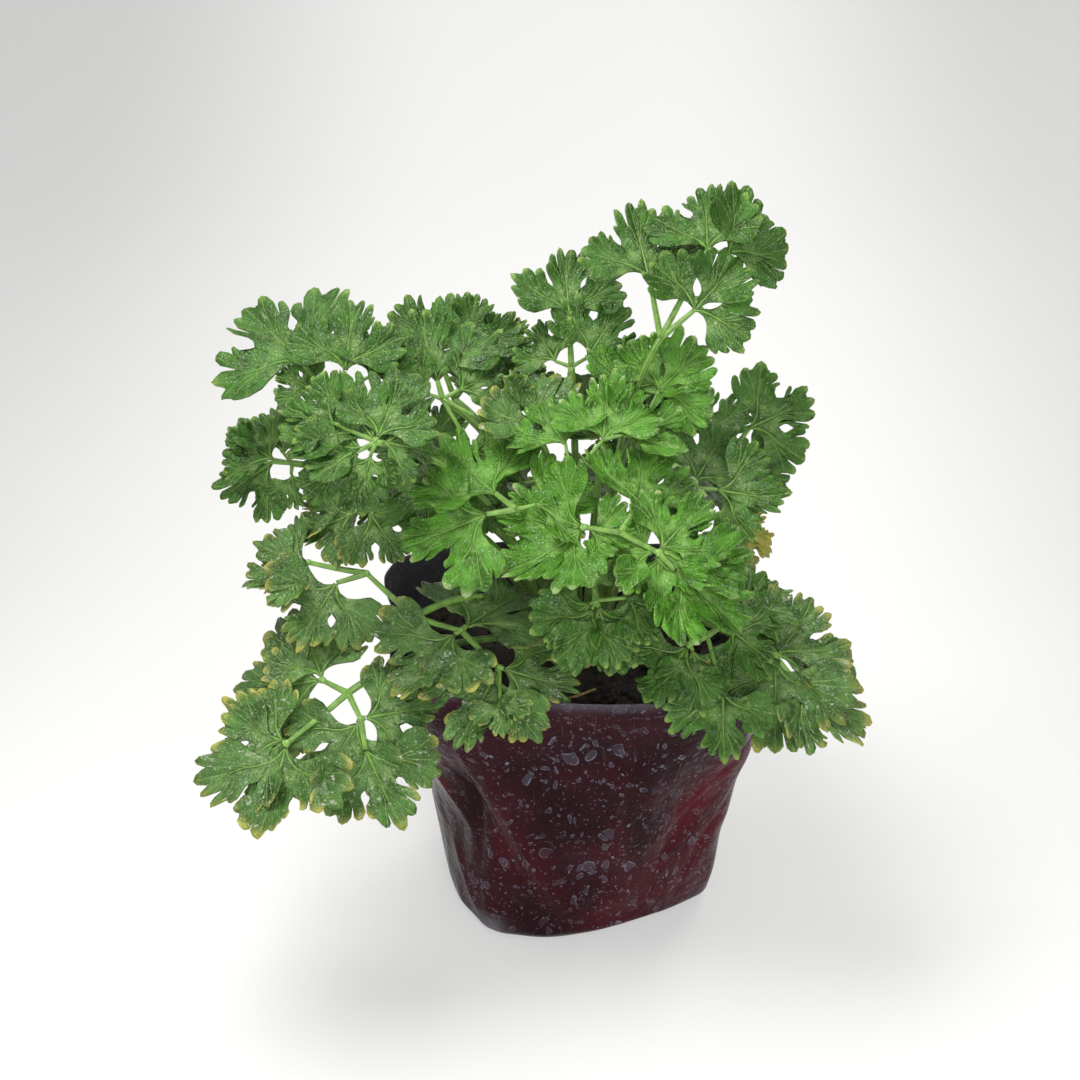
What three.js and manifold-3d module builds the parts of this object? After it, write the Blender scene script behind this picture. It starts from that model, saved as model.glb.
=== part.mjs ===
// A young parsley plant in a soft plastic-film grow bag. Millimetres, +Z up.
// The origin is the centre of the bag's flat base, and the plant is seen from -Y.
import * as THREE from "three";
import { mergeVertices } from "three/addons/utils/BufferGeometryUtils.js";
import Module from "manifold-3d";

// ---- driving dimensions ----
const BAG_HEIGHT = 136;
const FILM = 1.5; // the film with its stiff folds, as one wall
const GAP = 0.35; // between neighbouring pieces
const SOIL_GAP = 2.6; // the film stands a little off the soil
const SOIL_DEPTH = 112; // from the bag's base to the soil's surface at the middle
const WALL_LEVELS = [18, 40, 66, 92, SOIL_DEPTH - 3]; // heights where the wall bends, up to the soil's edge
const CROWN = new THREE.Vector3(-4, 10, 118); // top of the crown, where the stalks start
const CROWN_RADIUS = 17;
const RINGS = { outer: 13.5, inner: 8.5 }; // where the stalks start on the crown
const OUTER_REACH = 70; // fronds that lean out this far start on the outer ring
const SPREADING = 0.75; // how far crowded stalks move apart around their ring
const ROOT_LENGTH = 78;
const PETIOLE_RADIUS = 1.2;
const STALK_RADIUS = 0.8;
const KNUCKLE_RADIUS = 2.1;
const SHORTEST_STALK = 4; // a leaflet nearer than this sits on its neighbour's stalk
const BLADE = 0.9; // thickness of a leaflet
const SMOOTHING = 0.2; // cut edges shorter than this are merged

// The bag's plan: its radius in mm at every 30 degrees, anticlockwise from +X.
const BASE_PLAN = [57, 60, 58, 50, 56, 60, 58, 62, 59, 50, 47, 53];
const RIM_PLAN = [77, 82, 73, 63, 74, 96, 83, 90, 73, 67, 75, 90];
// Folds pressed into the film: heading, height, width in degrees, spread in height, depth.
const FOLDS = [
  [212, 62, 16, 34, 9],
  [250, 100, 12, 20, 4],
  [318, 70, 14, 40, 6],
];

// Each frond: the way its fork leans out from the crown (degrees anticlockwise from +X), how far
// out it stands and how high above the base, the heading and pitch that its upper side faces, its
// age from 0 to 1, and its parts. A part is a kind, the bearing and length of its stalk, the
// leaflet's length, the bearing that it points to, and the earlier part that its stalk leaves from.
// Bearings are clockwise from straight up, as seen by someone who faces the blade.
const FRONDS = {
  tall_right: [5, 33, 260, [-90, 35], 0.35, [["fan", -10, 25, 31, -12], ["trio", 50, 18, 27, 42],
    ["fan", 28, 41, 27, 0], ["duo", 100, 8, 26, 48, 2]]],
  top_centre: [105, 12, 243, [-90, 30], 0.3, [["fan", -2, 21, 28, -4], ["fan", 60, 8, 26, 32],
    ["fan", -70, 7, 18, -30]]],
  upper_right: [-20, 28, 228, [-90, 40], 0.15, [["fan", -25, 13, 25, 8], ["trio", 25, 15, 25, 45]]],
  high_front: [-95, 40, 220, [-90, 50], 0.1, [["fan", -10, 14, 25, -28], ["fan", 40, 20, 26, 5],
    ["fan", 75, 8, 26, 62, 1]]],
  centre_front: [-75, 60, 204, [-90, 55], 0.1, [["fan", 32, 14, 30, 8], ["node", -80, 14],
    ["fan", -70, 2, 30, -70, 1], ["fan", -125, 2, 32, -125, 1], ["fan", 110, 2, 17, 110, 1],
    ["node", 120, 17], ["fan", 40, 2, 25, 40, 5], ["fan", 80, 2, 34, 82, 5],
    ["fan", -85, 2, 20, -85, 5], ["fan", 180, 2, 22, 180, 5], ["fan", 140, 10, 34, 126, 5]]],
  right_rim: [-50, 80, 158, [-80, 55], 0.5, [["node", -110, 8], ["fan", -135, 2, 28, -135, 0],
    ["fan", 172, 3, 22, 172, 0], ["fan", 175, 24, 26, 188], ["node", 60, 9],
    ["fan", 95, 2, 28, 95, 4], ["fan", 138, 3, 20, 138, 4], ["fan", 65, 12, 24, 52, 4]]],
  right_low: [-40, 96, 150, [-65, 55], 0.7, [["node", 120, 6], ["fan", 58, 2, 30, 58, 0],
    ["fan", 95, 3, 24, 98, 0], ["fan", 200, 2, 36, 200, 0], ["fan", 160, 12, 34, 148, 0]]],
  front_small: [-85, 70, 180, [-90, 45], 0.45, [["fan", -120, 3, 23, -118], ["fan", -155, 4, 26, -155],
    ["fan", 160, 3, 27, 160], ["fan", -10, 5, 12, -10], ["fan", 85, 12, 22, 110]]],
  front_left: [215, 82, 158, [-90, 60], 0.6, [["node", -45, 29], ["node", -78, 25, 0, 0, 0],
    ["fan", -68, 2, 21, -68, 1], ["fan", -112, 2, 24, -112, 1], ["fan", -110, 13, 30, -150, 0],
    ["node", 108, 20], ["fan", -120, 3, 33, -142, 5], ["fan", 45, 3, 36, 42, 5],
    ["node", 137, 23, 0, 0, 5], ["fan", 208, 2, 33, 208, 8], ["fan", 100, 2, 29, 100, 8],
    ["fan", 178, 14, 15, 175, 8]]],
  low_left: [216, 116, 135, [-95, 60], 0.7, [["node", -65, 12], ["fan", -25, 2, 26, -25, 0],
    ["fan", -92, 2, 38, -92, 0], ["node", -137, 32], ["fan", -68, 2, 26, -68, 3],
    ["fan", -112, 2, 30, -112, 3], ["fan", -172, 2, 38, -172, 3], ["node", 150, 13],
    ["fan", 72, 2, 28, 72, 7], ["fan", -152, 2, 30, -152, 7], ["fan", 165, 14, 32, 150, 7]]],
  left_dark: [187, 90, 190, [-115, 50], 0.6, [["fan", -100, 6, 26, -82], ["fan", -140, 6, 24, -125],
    ["fan", 120, 4, 24, 128]]],
  left_far: [178, 120, 202, [-105, 50], 0.5, [["fan", -50, 7, 26, -15], ["fan", -85, 9, 22, -65],
    ["fan", -95, 9, 26, -125], ["fan", 170, 5, 14, 160]]],
  left_bright: [212, 94, 240, [-90, 45], 0.1, [["fan", -35, 2, 38, -35], ["fan", 20, 2, 24, 20],
    ["fan", 90, 3, 20, 95], ["fan", -115, 6, 25, -82], ["fan", -120, 8, 26, -130],
    ["fan", -65, 18, 21, -65], ["fan", -160, 6, 15, -168]]],
  top_left: [183, 102, 238, [-100, 35], 0.4, [["fan", -45, 18, 38, -52], ["fan", 27, 12, 28, 0],
    ["fan", 60, 18, 22, 28], ["fan", -75, 8, 16, -66]]],
  back_left: [143, 66, 214, [-90, 30], 0.45, [["fan", -20, 22, 30, -40], ["fan", 18, 20, 26, 4],
    ["fan", 38, 28, 18, 42]]],
  back_centre: [125, 55, 208, [-90, 25], 0.5, [["fan", -8, 8, 25, -12], ["fan", 60, 6, 18, 55]]],
  inner_left: [180, 56, 234, [-90, 40], 0.25, [["fan", -15, 8, 34, -15], ["fan", -70, 5, 20, -75],
    ["fan", 60, 8, 18, 60], ["fan", 118, 16, 26, 108], ["fan", 150, 22, 24, 165]]],
  inner_mid: [243, 56, 210, [-90, 50], 0.15, [["fan", -50, 11, 32, -42], ["fan", -100, 12, 34, -112],
    ["fan", 75, 8, 24, 80]]],
  inner_low: [196, 58, 206, [-90, 50], 0.3, [["fan", -120, 5, 25, -125], ["fan", -30, 14, 24, -20],
    ["fan", 98, 13, 24, 112]]],
  inner_dark: [230, 26, 226, [-90, 45], 0.55, [["trio", 0, 4, 27, 0]]],
  right_back: [25, 70, 188, [-90, 25], 0.5, [["fan", -35, 14, 24, -5], ["fan", 35, 19, 28, 65],
    ["fan", 85, 7, 25, 115]]],
  right_mid: [-20, 50, 202, [-90, 45], 0.35, [["fan", 20, 3, 30, 28], ["fan", 95, 10, 26, 100]]],
  right_yellow: [13, 70, 160, [-60, 50], 0.9, [["fan", 100, 3, 20, 112], ["fan", 60, 4, 16, 70]]],
  back_right: [55, 80, 168, [55, 50], 0.5, [["trio", 180, 22, 28, 180], ["trio", 110, 16, 23, 115],
    ["trio", -110, 16, 23, -115], ["fan", 62, 12, 24, 60], ["fan", -62, 12, 24, -60]]],
  back_low: [98, 84, 152, [98, 50], 0.65, [["trio", 180, 24, 30, 180], ["trio", 110, 17, 25, 118],
    ["trio", -110, 17, 25, -118], ["fan", 60, 12, 24, 62], ["fan", -60, 12, 24, -62]]],
  back_far_left: [148, 96, 168, [150, 50], 0.55, [["trio", 180, 22, 29, 180],
    ["trio", 110, 16, 24, 115], ["trio", -110, 16, 24, -115], ["fan", 62, 12, 24, 60], ["fan", -62, 12, 24, -60]]],
  back_high: [70, 48, 208, [72, 45], 0.35, [["trio", 180, 18, 26, 180], ["trio", 105, 14, 22, 100],
    ["trio", -105, 14, 22, -100], ["fan", 50, 14, 24, 45], ["fan", -50, 14, 24, -45]]],
};

// A leaflet's outline about its base: bearing from its own line, and radius as a share of its length.
const OUTLINES = {
  fan: [[-64, 0.42], [-40, 0.8], [-23, 0.6], [0, 1], [23, 0.6], [40, 0.8], [64, 0.42], [180, 0.06]],
  duo: [[-70, 0.42], [-38, 0.98], [-14, 0.6], [0, 0.26], [14, 0.6], [38, 0.98], [70, 0.42], [180, 0.06]],
  trio: [[-98, 0.36], [-70, 0.84], [-46, 0.5], [-32, 0.3], [-17, 0.7], [0, 1], [17, 0.7], [32, 0.3],
    [46, 0.5], [70, 0.84], [98, 0.36], [180, 0.06]],
};

const wasm = await Module();
wasm.setup();

const rad = THREE.MathUtils.degToRad;

function direction(heading, pitch) {
  const level = Math.cos(rad(pitch));
  const [x, y] = [Math.cos(rad(heading)) * level, Math.sin(rad(heading)) * level];
  return new THREE.Vector3(x, y, Math.sin(rad(pitch)));
}

// ---- solids ----
function toSolid(geometry) {
  const bare = geometry.index ? geometry.toNonIndexed() : geometry.clone();
  bare.deleteAttribute("normal");
  bare.deleteAttribute("uv");
  const merged = mergeVertices(bare, 1e-4);
  const mesh = new wasm.Mesh({
    numProp: 3,
    vertProperties: Float32Array.from(merged.attributes.position.array),
    triVerts: Uint32Array.from(merged.index.array),
  });
  return new wasm.Manifold(mesh);
}

function toGeometry(solid) {
  const mesh = solid.getMesh();
  const geometry = new THREE.BufferGeometry();
  geometry.setAttribute("position", new THREE.BufferAttribute(Float32Array.from(mesh.vertProperties), 3));
  geometry.setIndex(new THREE.BufferAttribute(Uint32Array.from(mesh.triVerts), 1));
  geometry.computeVertexNormals();
  return geometry;
}

function joined(solids) {
  return solids.reduce((all, solid) => all.add(solid));
}

// A blade that meets an earlier one stops short of it, and the larger part is kept.
function largestBody(solid) {
  const bodies = solid.decompose();
  return bodies.reduce((best, body) => (body.volume() > best.volume() ? body : best)).simplify(SMOOTHING);
}

function roundSection(radius, sides) {
  const corners = [];
  for (let i = 0; i < sides; i += 1) {
    const turn = (i / sides) * 2 * Math.PI;
    corners.push(new THREE.Vector2(Math.cos(turn) * radius, Math.sin(turn) * radius));
  }
  return new THREE.Shape(corners);
}

function tube(curve, radius, sides, steps) {
  const options = { steps, bevelEnabled: false, extrudePath: curve };
  return new THREE.ExtrudeGeometry(roundSection(radius, sides), options);
}

// ---- the fronds ----
function forkOf([heading, reach, height]) {
  return direction(heading, 0).multiplyScalar(reach).add(new THREE.Vector3(CROWN.x, CROWN.y, height));
}

// The stalks stand around two rings on the crown, in the order of their headings.
function crownPlaces() {
  const places = {};
  const isOuter = (name) => FRONDS[name][1] >= OUTER_REACH;
  const turned = (name) => (FRONDS[name][0] + 360) % 360;
  [true, false].forEach((outer) => {
    const ring = Object.keys(FRONDS).filter((name) => isOuter(name) === outer);
    ring.sort((a, b) => turned(a) - turned(b));
    const step = 360 / ring.length;
    const first = ring.reduce((sum, name, i) => sum + turned(name) - i * step, 0) / ring.length;
    ring.forEach((name, i) => {
      const heading = turned(name) + SPREADING * (first + i * step - turned(name));
      places[name] = direction(heading, 0).multiplyScalar(outer ? RINGS.outer : RINGS.inner);
    });
  });
  return places;
}

// The stalk rises from its place on the crown, then arches out to the fork.
function petioleCurve(frond, place) {
  const [heading, reach] = frond;
  const outward = direction(heading, 0);
  const fork = forkOf(frond);
  const rise = fork.z - CROWN.z;
  const start = CROWN.clone().add(place);
  start.z += PETIOLE_RADIUS;
  const lower = start.clone().addScaledVector(outward, 0.15 * reach);
  lower.z += 0.5 * rise + 12;
  const upper = fork.clone().addScaledVector(outward, -0.4 * reach);
  upper.z += 20 - 0.3 * rise;
  const end = fork.clone().addScaledVector(upper.clone().sub(fork).normalize(), KNUCKLE_RADIUS + GAP);
  return new THREE.CubicBezierCurve3(start, lower, upper, end);
}

function bladeAxes([heading, pitch]) {
  const normal = direction(heading, pitch);
  const up = new THREE.Vector3(0, 0, 1).addScaledVector(normal, -normal.z).normalize();
  return { normal, up, right: up.clone().cross(normal) };
}

function along(axes, bearing) {
  const ahead = axes.up.clone().multiplyScalar(Math.cos(rad(bearing)));
  return ahead.addScaledVector(axes.right, Math.sin(rad(bearing)));
}

// Neighbouring leaflets rock a little either way, so that no two lie in one plane.
function rock(index) {
  return { roll: 16 * Math.sin(2.4 * index + 0.7), droop: 12 + 10 * Math.sin(3.7 * index + 1.3) };
}

function leafletMatrix(hub, axes, pointing, index) {
  const { roll, droop } = rock(index);
  const ahead = along(axes, pointing);
  const across = ahead.clone().cross(axes.normal);
  const tilt = new THREE.Matrix4().makeBasis(ahead, across.clone().negate(), axes.normal);
  const rolled = new THREE.Matrix4().makeRotationX(rad(roll));
  return tilt.multiply(new THREE.Matrix4().makeRotationY(rad(droop))).multiply(rolled).setPosition(hub);
}

function leafletGeometry(kind, length, margin) {
  const corners = OUTLINES[kind].map(([bearing, share]) => {
    const radius = share * length + margin;
    return new THREE.Vector2(Math.cos(rad(bearing)) * radius, Math.sin(rad(bearing)) * radius);
  });
  const depth = BLADE + 2 * margin;
  const geometry = new THREE.ExtrudeGeometry(new THREE.Shape(corners), { depth, bevelEnabled: false });
  return geometry.translate(0, 0, -depth / 2);
}

// The small swelling where stalks branch.
function knuckle(place, margin) {
  const geometry = new THREE.OctahedronGeometry(KNUCKLE_RADIUS + margin);
  return toSolid(geometry.translate(place.x, place.y, place.z));
}

// One frond's blade: its branching stalks and its leaflets, grown as one piece.
function bladeSolid(frond, margin) {
  const axes = bladeAxes(frond[3]);
  const fork = forkOf(frond);
  const hubs = [];
  const solids = [knuckle(fork, margin)];
  frond[5].forEach(([kind, bearing, distance, length, pointing, from], index) => {
    const root = from === undefined ? fork : hubs[from];
    const hub = root.clone().addScaledVector(along(axes, bearing), distance);
    hubs.push(hub);
    if (distance >= SHORTEST_STALK) {
      const beyond = hub.clone().addScaledVector(along(axes, bearing), 1);
      solids.push(toSolid(tube(new THREE.LineCurve3(root, beyond), STALK_RADIUS + margin, 4, 1)));
    }
    if (kind === "node") {
      solids.push(knuckle(hub, margin));
    } else {
      const leaflet = leafletGeometry(kind, length, margin);
      solids.push(toSolid(leaflet.applyMatrix4(leafletMatrix(hub, axes, pointing, index))));
    }
  });
  return joined(solids);
}

// ---- the bag, the soil and the root ----
function planRadius(plan, angle) {
  const place = (((angle / (2 * Math.PI)) % 1) + 1) % 1 * plan.length;
  const first = Math.floor(place);
  const share = place - first;
  const at = (i) => plan[(first + i + plan.length) % plan.length];
  const [a, b, c, d] = [at(-1), at(0), at(1), at(2)];
  const curve = (2 * a - 5 * b + 4 * c - d) * share + (3 * b - a - 3 * c + d) * share * share;
  return b + 0.5 * share * (c - a + curve);
}

function foldDepth(angle, height) {
  return FOLDS.reduce((sum, [heading, level, width, spread, depth]) => {
    const turn = Math.atan2(Math.sin(angle - rad(heading)), Math.cos(angle - rad(heading))) / rad(width);
    const lift = (height - level) / spread;
    return sum + depth * Math.exp(-turn * turn - lift * lift);
  }, 0);
}

function bagRadius(angle, height) {
  const share = Math.pow(height / BAG_HEIGHT, 0.85);
  const base = planRadius(BASE_PLAN, angle);
  return base + (planRadius(RIM_PLAN, angle) - base) * share - foldDepth(angle, height);
}

// A turned profile of [share of the bag's radius, inset, height] pushed out to the bag's plan.
function bagLathe(profile, sides) {
  const points = profile.map(([share, , height]) => new THREE.Vector2(share, height));
  const geometry = new THREE.LatheGeometry(points, sides).rotateX(Math.PI / 2);
  const position = geometry.attributes.position;
  for (let i = 0; i < position.count; i += 1) {
    const [share, inset, height] = profile[i % profile.length];
    const angle = Math.atan2(position.getY(i), position.getX(i));
    const radius = share === 0 ? 0 : share * (bagRadius(angle, height) - inset);
    position.setXYZ(i, Math.cos(angle) * radius, Math.sin(angle) * radius, height);
  }
  return geometry;
}

function bagGeometry() {
  const wall = [0, ...WALL_LEVELS, BAG_HEIGHT];
  const outside = wall.map((height) => [1, 0, height]);
  const inside = wall.slice(1).reverse().map((height) => [1, FILM, height]);
  return bagLathe([[0, 0, 0], ...outside, ...inside, [1, FILM, FILM], [0, FILM, FILM]], 24);
}

function soilSolid() {
  const inset = FILM + SOIL_GAP;
  const floor = FILM + GAP;
  const wall = WALL_LEVELS.map((height) => [1, inset, height]);
  const top = [[0.6, inset, SOIL_DEPTH + 2], [0, 0, SOIL_DEPTH + 3]];
  const fill = toSolid(bagLathe([[0, 0, floor], [1, inset, floor], ...wall, ...top], 24));
  return fill.subtract(toSolid(rootGeometry(GAP)));
}

function rootGeometry(margin) {
  const profile = [[0, -ROOT_LENGTH], [2, -0.75 * ROOT_LENGTH], [6, -0.4 * ROOT_LENGTH], [10, -14],
    [CROWN_RADIUS, -5], [CROWN_RADIUS, 0], [0, 0]];
  const points = profile.map(([radius, height], i) => {
    const grown = radius === 0 ? 0 : radius + margin;
    return new THREE.Vector2(grown, height + (i === 0 ? -margin : 0) + (i > 4 ? margin : 0));
  });
  return new THREE.LatheGeometry(points, 14).rotateX(Math.PI / 2).translate(CROWN.x, CROWN.y, CROWN.z);
}

// ---- odd things on the soil ----
function seedlingSolid() {
  const foot = new THREE.Vector3(-54, 30, SOIL_DEPTH + 3);
  const top = new THREE.Vector3(-53, 26, SOIL_DEPTH + 13);
  const stem = toSolid(tube(new THREE.LineCurve3(foot, top), 0.7, 6, 1));
  const leaves = [-1, 1].map((side) => {
    const leaf = new THREE.SphereGeometry(4.2, 8, 5).scale(1, 0.8, 0.18).rotateX(rad(30));
    return toSolid(leaf.translate(top.x + side * 4, top.y, top.z));
  });
  return joined([stem, ...leaves]);
}

function strawGeometry() {
  const line = new THREE.LineCurve3(new THREE.Vector3(-12, -40, 118), new THREE.Vector3(3, -33, 120));
  return tube(line, 0.7, 6, 2);
}

// ---- the assembly ----
const MATERIALS = {
  film: new THREE.MeshStandardMaterial({ color: "#43222b", roughness: 0.4, metalness: 0 }),
  soil: new THREE.MeshStandardMaterial({ color: "#1e1815", roughness: 1, metalness: 0 }),
  root: new THREE.MeshStandardMaterial({ color: "#a9a06a", roughness: 0.8, metalness: 0 }),
  straw: new THREE.MeshStandardMaterial({ color: "#9a7c50", roughness: 0.9, metalness: 0 }),
  seedling: new THREE.MeshStandardMaterial({ color: "#8fb55a", roughness: 0.6, metalness: 0 }),
  stalk: new THREE.MeshStandardMaterial({ color: "#6d8f3c", roughness: 0.5, metalness: 0 }),
};

function leafMaterial(age) {
  const color = new THREE.Color("#5c9434").lerp(new THREE.Color("#35602b"), age);
  return new THREE.MeshStandardMaterial({ color, roughness: 0.55, metalness: 0 });
}

function named(name, geometry, material) {
  const mesh = new THREE.Mesh(geometry, material);
  mesh.name = name;
  return mesh;
}

function addFronds(group) {
  const fronds = Object.entries(FRONDS);
  const places = crownPlaces();
  const curves = fronds.map(([name, frond]) => petioleCurve(frond, places[name]));
  const stems = curves.map((curve) => tube(curve, PETIOLE_RADIUS, 6, 7));
  const wider = curves.map((curve) => toSolid(tube(curve, PETIOLE_RADIUS + GAP, 6, 7)));
  let taken = joined(wider);
  fronds.forEach(([name, frond], i) => {
    const blade = largestBody(bladeSolid(frond, 0).subtract(taken));
    taken = taken.add(bladeSolid(frond, GAP));
    group.add(named(`stem_${name}`, stems[i], MATERIALS.stalk));
    group.add(named(`leaf_${name}`, toGeometry(blade), leafMaterial(frond[4])));
  });
}

const parsley = new THREE.Group();
parsley.add(named("grow_bag", bagGeometry(), MATERIALS.film));
parsley.add(named("soil", toGeometry(soilSolid()), MATERIALS.soil));
parsley.add(named("rootstock", rootGeometry(0), MATERIALS.root));
parsley.add(named("seedling", toGeometry(seedlingSolid()), MATERIALS.seedling));
parsley.add(named("straw", strawGeometry(), MATERIALS.straw));
addFronds(parsley);

export default parsley;
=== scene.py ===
"""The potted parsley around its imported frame: leaves, stalks, soil, film bag, stage and camera."""

import math
import random

import bmesh
import bpy
from bpy.props import FloatProperty, FloatVectorProperty, IntProperty, PointerProperty
from mathutils import Matrix, Vector, noise


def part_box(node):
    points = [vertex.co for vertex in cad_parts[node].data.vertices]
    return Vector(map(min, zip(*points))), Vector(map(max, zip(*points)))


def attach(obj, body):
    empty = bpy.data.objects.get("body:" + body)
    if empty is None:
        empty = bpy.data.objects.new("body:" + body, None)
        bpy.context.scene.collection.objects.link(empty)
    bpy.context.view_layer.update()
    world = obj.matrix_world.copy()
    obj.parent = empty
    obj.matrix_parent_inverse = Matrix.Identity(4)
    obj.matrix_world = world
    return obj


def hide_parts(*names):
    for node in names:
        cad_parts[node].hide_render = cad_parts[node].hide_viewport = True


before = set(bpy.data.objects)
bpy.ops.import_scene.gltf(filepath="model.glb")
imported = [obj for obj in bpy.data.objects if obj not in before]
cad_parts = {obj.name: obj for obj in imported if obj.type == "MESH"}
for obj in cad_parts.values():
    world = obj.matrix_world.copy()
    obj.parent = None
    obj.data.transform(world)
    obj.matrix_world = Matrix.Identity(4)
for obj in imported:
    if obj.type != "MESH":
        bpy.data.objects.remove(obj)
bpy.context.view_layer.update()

bl_info = {
    "name": "Potted parsley",
    "version": (1, 0, 0),
    "blender": (4, 5, 0),
    "location": "3D View > Sidebar > Parsley",
    "description": "Grows a young parsley plant in a film nursery bag, piece by piece",
    "category": "Object",
}

MM = 0.001


def corner_mm(node, which):
    """A corner of a CAD node's box in millimetres: which is 0 for the lowest and 1 for the highest."""
    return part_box(node)[which] / MM


CROWN = (corner_mm("rootstock", 0) + corner_mm("rootstock", 1)) / 2
CROWN.z = corner_mm("rootstock", 1).z
BAG_HEIGHT = corner_mm("grow_bag", 1).z
SOIL_TOP = corner_mm("soil", 1).z
# Stalks start on two rings round the crown: low, far-reaching ones on the outer. SPREADING is how evenly.
CROWN_RINGS = {"outer": 13.5, "inner": 8.5}
OUTER_REACH = 70
SPREADING = 0.75

# The bag's plan: its radius in mm at every 30 degrees, anticlockwise from +X, as in the frame.
BASE_PLAN = [57, 60, 58, 50, 56, 60, 58, 62, 59, 50, 47, 53]
RIM_PLAN = [77, 82, 73, 63, 74, 96, 83, 90, 73, 67, 75, 90]
# Folds pressed into the film: heading, height, width in degrees, spread in height, depth.
FOLDS = [[212, 62, 16, 34, 9], [250, 100, 12, 20, 4], [318, 70, 14, 40, 6]]

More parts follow.
